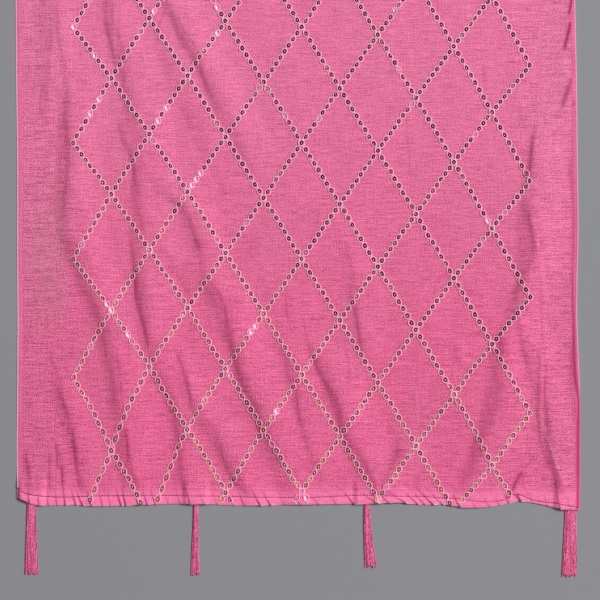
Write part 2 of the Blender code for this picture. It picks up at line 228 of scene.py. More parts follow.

# Creases: a steep flank on the left, and a long gentle one back down to the right.
# Height, width of the steep flank, and its middle as points of y and x.
CREASES = spread(
    Crease,
    # height, flank, line
    (1.3, 7, ((424, -231), (444, -235), (459, -238), (474, -240), (492, -241), (510, -242))),
    (1.6, 8, ((279, -237), (304, -234), (324, -231), (354, -230), (384, -232), (424, -232), (439, -236))),
    (0.9, 8, ((364, -258), (394, -252), (419, -251), (444, -249), (464, -247), (499, -246))),
    (1.0, 6, ((444, -185), (459, -188), (479, -191), (496, -193), (510, -195))),
    (0.6, 5, ((468, -180), (484, -184), (502, -186))),
    (0.7, 6, ((409, -171), (419, -174), (429, -173), (439, -177))),
    (0.9, 6, ((259, -153), (272, -155), (289, -159), (304, -164), (339, -165), (354, -170), (399, -180))),
    (0.9, 14, ((340, -172), (370, -173), (400, -172))),
    (1.7, 8, ((389, -81), (406, -87), (432, -97), (452, -108), (462, -115), (489, -126), (515, -137))),
    (0.6, 6, ((340, -131), (354, -135), (369, -140))),
    (1.4, 7, ((244, -95), (269, -103), (282, -108), (292, -113), (301, -120), (306, -130), (336, -153))),
    (0.6, 6, ((349, -98), (359, -102), (374, -108), (394, -112))),
    (0.5, 7, ((304, -70), (312, -73), (326, -80), (339, -86))),
    (0.45, 6, ((319, -42), (332, -46), (344, -53), (364, -63))),
    (1.5, 6, ((142, -148), (169, -152), (204, -159), (224, -162), (254, -166), (282, -171))),
    (0.9, 7, ((212, -98), (222, -108), (232, -118), (242, -126), (252, -133), (272, -148))),
    (0.7, 7, ((254, -220), (259, -228), (266, -236), (274, -243), (282, -250))),
    (0.6, 5, ((294, -216), (304, -219), (314, -223))),
    (0.7, 6, ((229, -205), (239, -208), (249, -213), (254, -218), (274, -223))),
    (1.2, 9, ((79, -182), (114, -184), (154, -192), (189, -200), (209, -207), (216, -213), (242, -226))),
    (1.2, 6, ((14, -160), (28, -164), (36, -170), (49, -169), (64, -172), (82, -176))),
    (1.3, 7, ((14, -268), (34, -271), (54, -275))),
    (1.0, 5, ((18, -235), (39, -236), (54, -240), (67, -246))), (0.8, 6, ((14, -249), (34, -251))),
    (1.4, 7, ((18, -216), (39, -221), (59, -224), (79, -228), (99, -234), (114, -240), (136, -247))),
    (0.8, 6, ((14, -194), (38, -199))), (0.6, 5, ((204, -157), (214, -155), (229, -152), (242, -148))),
    (1.1, 6, ((14, -114), (34, -117), (64, -120), (84, -123), (104, -128), (119, -136), (142, -148))),
    (0.9, 5, ((87, -101), (99, -106), (114, -109), (129, -112), (144, -117), (159, -122))),
    (0.8, 8, ((204, -84), (214, -90), (229, -95), (244, -98))),
    (1.7, 9, ((62, -37), (89, -40), (99, -42), (109, -50), (134, -60), (159, -66), (194, -70))),
    (0.7, 5, ((161, -69), (169, -78), (179, -86), (194, -93))), (0.5, 4, ((154, -86), (169, -95))),
    (1.4, 7, ((10, -50), (19, -60), (29, -68), (39, -72), (54, -77), (69, -82), (94, -95))),
    (0.7, 6, ((14, -83), (28, -87))), (0.7, 6, ((18, -53), (36, -62))),
    (0.6, 7, ((34, -16), (49, -23), (64, -28), (79, -35))),
    (0.45, 6, ((289, 4), (297, -6), (306, -14))), (0.4, 6, ((344, 44), (356, 35), (368, 26))),
    (0.6, 5, ((219, 54), (239, 53), (252, 50), (264, 46))),
    (0.5, 6, ((268, 179), (284, 174), (299, 170))), (0.6, 5, ((420, 188), (442, 187))),
    (1.9, 8, ((322, 229), (345, 232), (362, 234), (386, 239))),
    (1.5, 8, ((192, 216), (212, 217), (229, 225), (242, 232), (279, 231), (302, 224), (316, 228))),
    (0.9, 7, ((104, 238), (119, 234), (139, 229), (159, 224), (179, 220), (205, 215))),
    (0.8, 12, ((254, 218), (270, 219), (285, 221))),
    (1.2, 5, ((452, 265), (463, 268), (474, 271), (486, 274))),
    (1.0, 5, ((486, 270), (496, 272), (508, 274))),
    (1.3, 9, ((388, 259), (400, 264), (412, 269), (424, 273))),
    (0.6, 6, ((399, 263), (416, 269), (432, 274))), (1.5, 6, ((140, 202), (159, 202), (174, 202))),
    (2.2, 18, ((14, 164), (34, 172), (64, 182), (79, 190), (94, 197), (114, 202), (142, 203))),
    (0.8, 6, ((49, 170), (64, 176), (84, 182), (109, 188))),
    (1.1, 6, ((8, 263), (26, 259), (44, 255), (59, 252), (99, 246), (134, 244), (161, 243))),
    (0.8, 5, ((79, 276), (104, 275), (124, 272), (149, 272), (169, 271))),
    (1.45, 8, ((42, 60), (69, 46), (84, 42), (99, 37), (124, 26), (154, 12), (172, 6))),
    (1.5, 8, ((14, 78), (31, 71), (44, 66), (58, 58))),
    (2.0, 8, ((14, 82), (32, 91), (47, 97), (66, 103))),
    (0.7, 6, ((169, 5), (179, -3), (189, -10), (206, -17))),
    (1.1, 6, ((34, 20), (49, 13), (59, 9), (74, 5), (89, 0), (104, -3), (119, -5))),
    (0.5, 5, ((118, -7), (134, -10), (154, -14))),
    (1.1, 5, ((138, 64), (154, 62), (174, 60), (189, 58), (204, 54), (216, 47))),
    (0.5, 5, ((116, 52), (139, 48))), (0.7, 5, ((136, 163), (152, 158), (166, 154))),
    (1.0, 7, ((10, 122), (36, 117))), (0.8, 6, ((10, 143), (26, 137))),
    (0.7, 6, ((14, 158), (26, 146))), (1.5, 7, ((8, 212), (24, 218), (38, 223))),
)
CREASE_BACK = 4.0  # the gentle flank, in widths of the steep one
CREASE_DEPTH = 0.68
CREASE_TIGHT = 0.85
CREASE_FADE = 0.2
CREASE_STOP = 6.0  # the creases die out between here and CREASE_REACH further in
CREASE_REACH = 12.0

# The slight unevenness between the folds, as crossing waves.
RIPPLES = listed(
    Ripple,
    # height, wavelength across, wavelength along, turn
    (0.16, 61.0, 173.0, 0.4), (0.12, -47.0, 121.0, 2.1), (0.08, 29.0, -83.0, 4.0),
    (0.05, 17.0, 59.0, 1.3),
)

# Gathers that the stitches draw up along the near hem, from left to right: where
# each one's crease meets the stitches, where it meets the fold, and its depth.
GATHERS = listed(
    Gather,
    # at the stitches, at the fold, depth
    (-283, -283, 0.2), (-270, -269, 0.6), (-260, -259.5, 0.35), (-251, -250, 0.4),
    (-242.5, -241.5, 0.4), (-234.2, -233.2, 1.1), (-225, -222.7, 0.9), (-220, -216, 1.0),
    (-210, -207, 0.7), (-198, -196, 0.4), (-190, -188, 0.3), (-180.5, -177.2, 1.1), (-175, -173, 1.1),
    (-163, -160, 0.5), (-154, -151, 0.7), (-146, -143, 0.5), (-133, -130, 0.3), (-121, -118, 0.35),
    (-110.5, -108.5, 0.7), (-98, -94, 0.3), (-85, -81, 0.3), (-70, -65, 0.35), (-58, -54, 0.45),
    (-43, -38.2, 1.1), (-33, -28, 1.1), (-18, -14, 0.3), (-3, 2, 0.4), (14, 20, 0.35), (32, 38, 0.4),
    (48, 55, 1.0), (66, 79, 1.0), (82, 90, 0.6), (96, 107, 1.3), (110, 119, 0.9), (118, 126, 0.6),
    (126, 134.5, 1.4), (136, 144, 1.0), (147, 152, 0.9), (156, 161, 0.8), (172, 177, 0.3),
    (187, 192, 0.4), (198, 201, 0.4), (208, 210, 0.7), (216, 222, 1.4), (232, 235, 0.35),
    (247, 249, 0.4), (260, 261, 1.1), (270, 272, 0.3), (283, 283, 0.2),
)
# How much of a gather's depth there is at this distance in from the stitches.
GATHER_SHARE = (
    # distance, share
    (-12, 1.0), (-8, 1.0), (-4, 0.9), (-1.2, 0.6), (0, 0.35), (1.2, 0.45), (4, 0.45), (9, 0.22),
    (16, 0.08), (26, 0.0),
)
GATHER_LINE = 0.5  # half the width of the line of shade down a gather
GATHER_DARK = 3.0  # its shade for each millimetre of depth
GATHER_CLEAR = 0.45  # and what is taken off, so that shallow gathers have none
GATHER_ENDS = (-2, 1)  # how far its crease runs, in ways from the stitches out to the fold
GATHER_STEEP = 1.4  # how far a gather takes to rise from its crease
GATHER_SCALLOP = 0.5  # how far the fold swells between two creases, for each millimetre of depth
SCALLOP_POWER = 8  # the swell dies out within the first rows of the hem

# The turned edges' sections: distance in from the outer edge, and height. The left
# one is pressed to a taper.
EDGE_SETTLE = 0.55  # how much of a fold's lift is left at the outer edge
EDGE_SECTIONS = {
    "left": (
        (0.0, 0.12), (0.25, 0.24), (0.7, 0.36), (1.2, 0.47), (1.8, 0.59), (2.4, 0.7),
        (3.0, 0.8), (3.6, 0.88), (4.2, 0.95), (4.7, 0.99), (5.0, 1.0),
    ),
    "right": (
        (0.0, 0.5), (0.08, 0.88), (0.3, 1.18), (0.9, 1.31), (1.6, 1.35), (2.4, 1.36),
        (3.0, 1.35), (3.6, 1.3), (4.3, 1.16), (4.7, 1.05), (5.0, 1.0),
    ),
}
# The deep line beside the right edge, where its turn throws the cloth into shade.
RIGHT_LINE = (
    # y, distance in from the edge, half width, depth
    (0, 2.3, 2.0, 1.0), (50, 2.3, 2.0, 1.0), (80, 2.3, 1.8, 1.0), (105, 2.0, 1.7, 1.0),
    (128, 4.2, 2.8, 0.9), (152, 4.3, 2.6, 0.9), (178, 3.4, 1.8, 0.85), (205, 4.2, 1.6, 0.7),
    (230, 5.2, 1.3, 0.6), (280, 5.2, 1.2, 0.6), (305, 5.5, 1.4, 0.5), (330, 6.2, 2.2, 0.5),
    (348, 5.6, 1.8, 0.35), (375, 5.2, 1.5, 0.15), (520, 5.2, 1.3, 0.1), (900, 4.6, 1.4, 0.45),
    (2000, 4.6, 1.4, 0.4),
)
# Tucks pinched in the cloth, most of them beside the right edge, each drawn only as a painted line of shade.
TUCKS = listed(
    Tuck,
    # x and y of its two ends, half width, depth
    (273.5, 504.0, 271.0, 491.0, 1.4, 1.0), (272.0, 480.0, 266.5, 457.0, 1.5, 1.0),
    (273.0, 424.0, 264.5, 399.0, 1.9, 0.6), (276.0, 403.0, 275.5, 399.0, 1.8, 0.7),
    (274.0, 346.0, 271.0, 328.0, 2.2, 0.45), (209.9, 8.1, 222.0, 30.2, 1.3, 0.8),
    (222.0, 30.2, 236.0, 47.0, 1.3, 0.35), (219.0, 10.2, 223.4, 1.5, 1.0, 0.9),
    (207.5, 7.5, 213.0, 9.5, 1.0, 0.8), (-163.0, 432.0, -133.0, 417.0, 1.4, 0.25),
)
# How far in the light comes through an edge, and how strongly.
LEFT_GLOW = (2.0, 1.0)
RIGHT_GLOW = (0.8, 0.45)
HEM_GLOW = (1.1, 0.5)
# Shades of the turned edges. Each stretch is the y or the distance in from the edge
# where it begins or ends, and the length over which it eases in or out.
LEFT_DULL = 0.06
LEFT_LOW = 0.16  # added at the left, near the hem
LEFT_LOW_ENDS = (150.0, 80.0)
RIGHT_DULL = 0.3
RIGHT_OUTER = 0.2  # added at the right's outer side, which faces the lamp
RIGHT_OUTER_ENDS = (3.5, 2.0)
RIGHT_FLAT = 0.1  # taken away where the right edge lies flattest
RIGHT_FLAT_BEGINS = (300.0, 60.0)
RIGHT_FLAT_ENDS = (700.0, 100.0)
RIGHT_GLOW_BEGINS = (130.0, 40.0)
DULL_ENDS = (EDGE_BAND + 0.6, 1.2)

# Where the hem's section has its rows, as shares of the band from its fold in.
HEM_SHARES = (0, 0.015, 0.05, 0.1, 0.17, 0.25, 0.33, 0.4, 0.46, 0.51, 0.56, 0.62, 0.7, 0.8, 0.9, 0.96, 1)
HEM_UNDER = (1.0, 0.5, 0.02)  # and the rows of its underside, back out to the fold
HEM_COLUMNS = 941
HEM_CORNER = (-0.6, 3.6)  # the hem's ends slope up from this far in from the edge, over so much
CORNER_LOW = 0.45  # the height of the cloth's face where they begin
HEM_WAVER = ((0.6, 23.0, 0.0), (0.4, 9.1, 1.0))  # height, length and shift of each wave
HEM_ROLL = 1.5
HEM_JOIN = 0.4  # the doubled cloth's paler face gives way to the panel's before its inner edge
HEM_JOIN_REACH = 6.5
HEM_EASE = 0.02
HEM_PRESS = 0.75  # how much of its thickness the hem loses at its pressed fold
HEM_TURN = 0.4
HEM_STEP = 1.6  # the width of the step down from the turned cloth's inner edge
STITCH_DIP = 0.45
STITCH_REACH = 1.1
STITCH_RIDE = 0.12  # a stitch's middle over the cloth, which closes round it
# The panel's rows lie closer in this band beside each hem, and up to a place along it.
FINE_BAND = 28.0
FINE_ROW = 2.0
NEAR_UNTIL = 560.0
UNDER_STRIDE = 6  # the panel's underside has one row and column for so many above

TASSELS = listed(
    Tassel,
    # across, root, tip, length, threads, lean
    (-266.7, 8.6, 15.0, 71.0, 11, 0.5), (-102.0, 5.0, 10.0, 71.5, 7, -0.5),
    (69.0, 5.5, 12.5, 64.5, 8, 4.0), (272.5, 12.5, 16.5, 67.5, 14, -1.5),
)
TASSEL_SHARE = 1.25  # the threads that are made in a layer, for each one counted
TASSEL_LAYERS = (1.0, 0.84, 0.58)  # each layer's width as a share of the lowest
TASSEL_SAMPLES = 14
TASSEL_SIDES = 5
TASSEL_SEEDS = (0, 10)  # the first tassel's seed follows this one, at the near and the far end
TASSEL_TUCK = 3.0
TASSEL_UNEVEN = 3.2
TASSEL_SPREAD = 0.35  # how far a thread strays from its place, in threads
# Waves of the threads: height, and the fewest and most radians from root to tip.
TASSEL_WANDER = (0.35, 3, 7)  # sideways, and only towards the tip
TASSEL_CRIMP = (0.10, 30, 50)  # sideways
TASSEL_WAVE = (0.12, 6, 12)  # up from the thread below
TASSEL_RISE = 0.5  # each layer over the one below
TASSEL_SETTLE = 0.45  # how much of that is lost by the tips
TASSEL_CLEAR = 0.03


def smooth(t):
    """Eases 0 to 1, flat at both ends."""
    t = np.clip(t, 0.0, 1.0)
    return t * t * (3.0 - 2.0 * t)


def rising(value, begins, over):
    """0 until it begins, then easing to 1."""
    return smooth((value - begins) / over)


def falling(value, ends, over):
    """1, easing to 0 by where it ends."""
    return smooth((ends - value) / over)


def eased(at, points, column=1):
    """A smooth curve through the rows of a table, read at these places."""
    rows = np.array(points, float)
    places, values = rows[:, 0], rows[:, column]
    slopes = np.gradient(values, places)
    i = np.clip(np.searchsorted(places, at) - 1, 0, len(places) - 2)
    span = places[i + 1] - places[i]
    t = np.clip((at - places[i]) / span, 0.0, 1.0)
    start = (1 + 2 * t) * (1 - t) ** 2 * values[i] + t * (1 - t) ** 2 * span * slopes[i]
    end = t * t * (3 - 2 * t) * values[i + 1] + t * t * (t - 1) * span * slopes[i + 1]
    return start + end


def faded(y, points, fade, runs_through=True):
    """1 along a line's length, easing to 0 at its ends, unless it runs through a hem there."""
    first, last = points[0][0], points[-1][0]
    share = (y - first) / (last - first)
    rise = 1.0 if runs_through and first < END_REACH else smooth(share / fade)
    fall = 1.0 if runs_through and last > LENGTH - END_REACH else smooth((1 - share) / fade)
    return rise * fall * ((y >= first - END_REACH) & (y <= last + END_REACH))


def fold_height(x, y, fold):
    """The lift of one fold: a soft ridge, steeper on its left."""
    across = x - eased(y, fold.crest)
    u = np.where(across < 0, across / fold.left, across / fold.right)
    ridge = np.where(np.abs(u) < 1, (1 - u * u) ** 2, 0.0)
    return FOLD_EASE * fold.height * ridge * faded(y, fold.crest, FOLD_FADE)


def lift(x, y):
    """How far the cloth's underside stands off the table."""
    total = sum(fold_height(x, y, fold) for fold in FOLDS)
    from_end = np.minimum(y, LENGTH - y)
    calm = HEM_KEEP + (1 - HEM_KEEP) * smooth(from_end / HEM_REACH)
    along = np.where(y < LENGTH / 2, x, -x)
    over_heads = sum(
        smooth(2.0 - (np.abs(along - tassel.across) - tassel.root / 2) / HEAD_ROOM)
        for tassel in TASSELS
    )
    return total * calm + (HEAD_THICK + SEAM) * over_heads * smooth(2.0 - from_end / HEM_BAND)


def crinkle(x, y, line):
    """A pinched line in the cloth, sharp along its crest."""
    u = np.clip(np.abs(x - eased(y, line.crest)) / line.half, 0, 1)
    return line.height * (1 - u) ** 2 * faded(y, line.crest, CRINKLE_FADE, runs_through=False)


def crease_height(x, y, crease):
    """A crease with a steep left flank, which fades towards its ends unless they are at a hem."""
    across = x - eased(y, crease.line)
    flank = CREASE_TIGHT * crease.flank
    climb = smooth(across / flank + 0.5)
    back = smooth((across / flank - 0.5) / CREASE_BACK)
    clear = rising(np.minimum(y, LENGTH - y), CREASE_STOP, CREASE_REACH)
    return CREASE_DEPTH * crease.height * climb * (1 - back) * clear * faded(y, crease.line, CREASE_FADE)


def ripple(x, y):
    """The cloth's slight unevenness, never below the plain wall's face."""
    waves = sum(
        r.height * (1 + np.sin(2 * math.pi * (x / r.wide + y / r.long) + r.turn)) for r in RIPPLES
    )
    return waves / 2


def side(y, which):
    """The x of the left (-1) or right (1) outer edge at this distance from the near hem."""
    column = 1 if which < 0 else 2
    return which * (WIDTH / 2) + eased(y, SIDES, column)


def edge_shade(x, y):
    """The shade of the turned edges, and of the deep line beside the right one, 0 to 1."""
    inward = np.minimum(x - side(y, -1), side(y, 1) - x)
    left = LEFT_DULL + LEFT_LOW * falling(y, *LEFT_LOW_ENDS)
    right = RIGHT_DULL + RIGHT_OUTER * falling(inward, *RIGHT_OUTER_ENDS)
    right = right - RIGHT_FLAT * rising(y, *RIGHT_FLAT_BEGINS) * falling(y, *RIGHT_FLAT_ENDS)
    off_line = (side(y, 1) - x - eased(y, RIGHT_LINE, 1)) / eased(y, RIGHT_LINE, 2)
    line = eased(y, RIGHT_LINE, 3) * np.exp(-(off_line**2))
    return np.maximum(np.where(x > 0, right, left) * falling(inward, *DULL_ENDS), line)


def tuck_shade(x, y, tuck):
    """The shade of one tuck, deepest along its line."""
    dx, dy = tuck.x2 - tuck.x1, tuck.y2 - tuck.y1
    along = np.clip(((x - tuck.x1) * dx + (y - tuck.y1) * dy) / (dx * dx + dy * dy), 0, 1)
    away = np.hypot(x - tuck.x1 - along * dx, y - tuck.y1 - along * dy)
    return tuck.depth * np.exp(-((away / tuck.half) ** 2))


def shade_at(x, y):
    """How deep the cloth lies in shade, 0 to 1: at its edges, gathers, tucks and pressed lines."""
    marks = [edge_shade(x, y)]
    for towards, from_end in ((x, y), (-x, LENGTH - y)):
        from_inner = hem_inner(towards) - HEM_EASE - from_end
        marks.append(HEM_JOIN * smooth(1.0 - from_inner / HEM_JOIN_REACH) * (from_inner >= 0))
        marks.append(gather_shade(towards, from_end))
    marks += [tuck_shade(x, y, tuck) for tuck in TUCKS]
    # painted shade along the pressed lines
    marks += [crinkle(x, y, line) for line in PRESSES]
    return np.max(marks, axis=0)


def glow_at(x, y):
    """How much light the cloth's edges let through, or its raised lines catch, 0 to 1."""
    from_folds = np.minimum(y + hem_out(x), LENGTH - y + hem_out(-x))
    glows = (
        (LEFT_GLOW, x - side(y, -1)),
        (RIGHT_GLOW, side(y, 1) - x + RIGHT_GLOW[0] * falling(y, *RIGHT_GLOW_BEGINS)),
        (HEM_GLOW, from_folds),
    )
    glow = np.max([share * smooth(1.0 - inward / reach) for (reach, share), inward in glows], axis=0)
    # painted highlight along the raised lines
    raised = np.min([crinkle(x, y, line) for line in PRESSES], axis=0)
    return np.maximum(glow, -PRESS_HIGHLIGHT * raised)


def hem_out(x):
    """How far the near hem's outer edge stands out from its straight line."""
    return eased(x, HEM_LINE)


def hem_inner(x):
    """The inner edge of the cloth turned under the hem, which wavers a little."""
    return HEM_BAND + sum(height * np.sin(x / long + shift) for height, long, shift in HEM_WAVER)


def gathered(x, out):
    """The gathers' height at a share of the way from the stitches out to the fold, before it fades."""
    height = np.zeros(np.broadcast(x, out).shape)
    for this, following in zip(GATHERS[:-1], GATHERS[1:]):
        start = this.stitches + (this.fold - this.stitches) * out
        stop = following.stitches + (following.fold - following.stitches) * out
        rise = np.clip((x - start) / GATHER_STEEP, 0, 1)
        fall = np.clip((stop - x) / (stop - start - GATHER_STEEP), 0, 1)
        height = height + this.depth * np.minimum(rise, fall)
    return height


def from_stitches(x, y):
    """How far in from the stitches, and how far out from them as a share of the way to the fold."""
    stitched = eased(x, STITCH_LINE)
    return y - stitched, (stitched - y) / (stitched + hem_out(x))


def gathers(x, y):
    """The small gathers that the stitches draw up along the near hem."""
    inwards, out = from_stitches(x, y)
    return gathered(x, np.clip(out, *GATHER_ENDS)) * np.interp(inwards, *np.array(GATHER_SHARE).T)


def gather_shade(x, y):
    """The thin lines of shade down the deeper gathers."""
    inwards, out = from_stitches(x, y)
    out = np.clip(out, 0, 1)
    shade = np.zeros(np.shape(x))
    for g in GATHERS:
        off_line = (x - g.stitches - (g.fold - g.stitches) * out) / GATHER_LINE
        depth = min(max(GATHER_DARK * g.depth - GATHER_CLEAR, 0.0), 1.0)
        shade = np.maximum(shade, depth * np.exp(-(off_line**2)))
    return shade * np.interp(inwards, *np.array(GATHER_SHARE).T)


def hem_form(x, y):
    """What the near hem adds to the cloth's upper face."""
    from_fold = np.clip((y + hem_out(x)) / HEM_ROLL, 0, 1)
    roll = (np.sqrt(1 - (1 - from_fold) ** 2) - 1) * (WALL + HEM_TURN) * HEM_PRESS
    turned = HEM_TURN * smooth((hem_inner(x) - y) / HEM_STEP + 0.5)
    groove = -STITCH_DIP * np.exp(-((from_stitches(x, y)[0] / STITCH_REACH) ** 2))
    return turned + roll + groove + gathers(x, y)


def upper(x, y):
    """The height of the stole's upper face, both hems included."""
    x, y = np.asarray(x, float), np.asarray(y, float)
    cloth = lift(x, y) + WALL + ripple(x, y) + sum(crinkle(x, y, line) for line in CRINKLES)
    cloth = cloth + sum(crease_height(x, y, crease) for crease in CREASES)
    cloth = cloth - PRESS_DEPTH * sum(crinkle(x, y, line) for line in PRESSES)
    return cloth + hem_form(x, y) + hem_form(-x, LENGTH - y)


def at_end(end, x, y):
    """x and y on the stole of places that are counted from one of its ends."""
    return end.turn * x, end.line + end.turn * y


def place(x, y, z):
    """Points in metres of the frame, from the middle, the near hem and the table."""
    return np.stack([x * MM, (y - LENGTH / 2) * MM, z * MM], axis=-1)


def row_places(sizes):
    """The panel's rows from hem to hem, closest beside the hems."""
    zone = HEM_BAND + FINE_BAND
    fine = np.arange(HEM_BAND, zone, FINE_ROW)
    near_rows = round((NEAR_UNTIL - zone) / (sizes.row_length / MM))
    far_rows = round((LENGTH - zone - NEAR_UNTIL) / (sizes.far_row_length / MM))
    near = np.linspace(zone, NEAR_UNTIL, near_rows, endpoint=False)
    far = np.linspace(NEAR_UNTIL, LENGTH - zone, far_rows, endpoint=False)
    return np.concatenate([fine, near, far, LENGTH - fine[::-1]])


def edge_rings(which, section, y):
    """The section of the left (-1) or right (1) turned edge, at each of these y."""
    outer = side(y, which)[:, None]
    y = y[:, None]
    base = upper(outer - which * EDGE_BAND, y) - WALL
    x = np.hstack([outer - which * section[:, 0], outer - which * EDGE_BAND, outer])
    settled = EDGE_SETTLE + (1 - EDGE_SETTLE) * smooth(section[:, 0] / EDGE_BAND)
    z = np.hstack([base * settled + section[:, 1], base, base * EDGE_SETTLE])
    rings = place(x, np.broadcast_to(y, x.shape), np.maximum(z, 0.0))
    # The right one's section is the left one's the other way round.
    return rings[:, ::-which]


def hem_rings(end):
    """The hem's sections across its band, from its underside back out to its fold."""
    x = np.linspace(*sorted(end.turn * side(end.line, which) for which in (-1, 1)), HEM_COLUMNS)[:, None]
    shares = np.array([*HEM_SHARES, *HEM_UNDER])
    scallop = GATHER_SCALLOP * (1 - shares) ** SCALLOP_POWER * gathered(x, 1.0)
    y = -hem_out(x) - scallop + shares * (hem_inner(x) + hem_out(x))
    x, y = at_end(end, np.broadcast_to(x, y.shape), y)
    inward = np.minimum(x - side(y, -1), side(y, 1) - x)
    settled = rising(inward, *HEM_CORNER)
    under = np.arange(len(shares)) >= len(HEM_SHARES)
    z = np.where(under, lift(x, y) * settled, CORNER_LOW + (upper(x, y) - CORNER_LOW) * settled)
    return place(x, y, z)[:, ::-1]


# ---------------------------------------------------------------- mesh and node helpers


def add_object(name, mesh):
    item = bpy.data.objects.new(name, mesh)
    bpy.context.scene.collection.objects.link(item)
    return item


def new_mesh(name, points, edges=(), faces=()):
    mesh = bpy.data.meshes.new(name)
    mesh.from_pydata(points, edges, faces)
    return mesh


def store(mesh, name, kind, values):
    """Keeps a value with each of a mesh's points."""
    field = "vector" if kind == "FLOAT_VECTOR" else "value"
    data = mesh.attributes.new(name, kind, "POINT").data
    data.foreach_set(field, np.asarray(values, np.float32).ravel())


def solid(name, points, faces, finish):
    """A piece of the stole from points and outward faces, shaded smooth."""
    mesh = new_mesh(name, points, faces=faces)
    mesh.shade_smooth()
    mesh.set_sharp_from_angle(angle=math.radians(SHARP_ANGLE))
    mesh.materials.append(finish)
    return add_object(name, mesh)


def ring_faces(rows, around, closed=False):
    """Faces through rings of points, which end in caps unless the last ring joins the first."""
    faces = []
    for r in range(rows if closed else rows - 1):
        a, b = r * around, (r + 1) % rows * around
        faces += [(a + k, a + (k + 1) % around, b + (k + 1) % around, b + k) for k in range(around)]
    if not closed:
        faces.append(tuple(range(around - 1, -1, -1)))
        faces.append(tuple(range((rows - 1) * around, rows * around)))
    return faces


def swept(name, rings, finish):
    """A closed body through rings of points, each running the same way round."""
    return solid(name, rings.reshape(-1, 3), ring_faces(*rings.shape[:2]), finish)


def mark_cloth(piece):
    """Keeps the cloth's shade and glow at each of a piece's points."""
    points = np.empty(3 * len(piece.data.vertices), np.float32)
    piece.data.vertices.foreach_get("co", points)
    x, y = points[0::3] / MM, points[1::3] / MM + LENGTH / 2
    store(piece.data, "shaded", "FLOAT", shade_at(x, y))
    store(piece.data, "glowing", "FLOAT", glow_at(x, y))


def steps(count, stride):
    """Every stride-th index below count, and always the last."""
    return [*range(0, count - 1, stride), count - 1]


def shell(name, top, low_of, stride, finish):
    """A closed sheet: a fine upper face over an underside with fewer rows and columns."""
    rows, columns = top.shape[:2]
    low_rows, low_columns = steps(rows, stride), steps(columns, stride)
    low = low_of(np.ix_(low_rows, low_columns))
    start = rows * columns
    width = len(low_columns)
    faces = []
    for r in range(rows - 1):
        a = r * columns
        faces += [(a + c, a + c + 1, a + columns + c + 1, a + columns + c) for c in range(columns - 1)]
    for r in range(len(low_rows) - 1):
        a = start + r * width
        faces += [(a + c, a + width + c, a + width + c + 1, a + c + 1) for c in range(width - 1)]
    for r, near in ((0, True), (len(low_rows) - 1, False)):
        for c in range(width - 1):
            over = [low_rows[r] * columns + k for k in range(low_columns[c], low_columns[c + 1] + 1)]
            under = [start + r * width + c, start + r * width + c + 1]
            faces.append((*under, *over[::-1]) if near else (*under[::-1], *over))
    for c, left in ((0, True), (width - 1, False)):
        for r in range(len(low_rows) - 1):
            over = [k * columns + low_columns[c] for k in range(low_rows[r], low_rows[r + 1] + 1)]
            under = [start + r * width + c, start + (r + 1) * width + c]
            faces.append((*under[::-1], *over) if left else (*under, *over[::-1]))
    points = np.concatenate([top.reshape(-1, 3), low.reshape(-1, 3)])
    return solid(name, points, faces, finish)


def linear(code):
    """An sRGB hex colour as linear red, green and blue."""
    parts = [int(code[i : i + 2], 16) / 255 for i in (0, 2, 4)]
    return tuple(c / 12.92 if c <= 0.04045 else ((c + 0.055) / 1.055) ** 2.4 for c in parts)


def wire(tree, node, inputs):
    """Gives a node its inputs: values, or links from sockets or from other nodes' results."""
    for key, value in inputs.items():
        if isinstance(value, bpy.types.Node):
            value = next(socket for socket in value.outputs if socket.enabled)
        if isinstance(value, bpy.types.NodeSocket):
            tree.links.new(value, node.inputs[key])
        else:
            node.inputs[key].default_value = value


def add(tree, kind, inputs=None, **settings):
    """A node with its settings and inputs."""
    node = tree.nodes.new(kind)
    for name, value in settings.items():
        setattr(node, name, value)
    wire(tree, node, inputs or {})
    return node


# ---------------------------------------------------------------- geometry node trees


def new_tree(name, sockets):
    """A geometry tree with a mesh in, a mesh out and these named inputs."""
    tree = bpy.data.node_groups.new(name, "GeometryNodeTree")
    for label, kind in {"Geometry": "Geometry", **sockets, "Finish": "Material"}.items():
        tree.interface.new_socket(label, in_out="INPUT", socket_type=f"NodeSocket{kind}")
    tree.interface.new_socket("Geometry", in_out="OUTPUT", socket_type="NodeSocketGeometry")
    return tree, add(tree, "NodeGroupInput").outputs


def end_tree(tree, geometry, soft, given):
    """Realizes what the tree made, gives it its shading and finish, and sends it out."""
    whole = add(tree, "GeometryNodeRealizeInstances", {"Geometry": geometry})
    smoothed = add(tree, "GeometryNodeSetShadeSmooth", {"Geometry": whole, "Shade Smooth": soft})
    finished = add(tree, "GeometryNodeSetMaterial", {"Geometry": smoothed, "Material": given["Finish"]})
    add(tree, "NodeGroupOutput", {0: finished})
    return tree


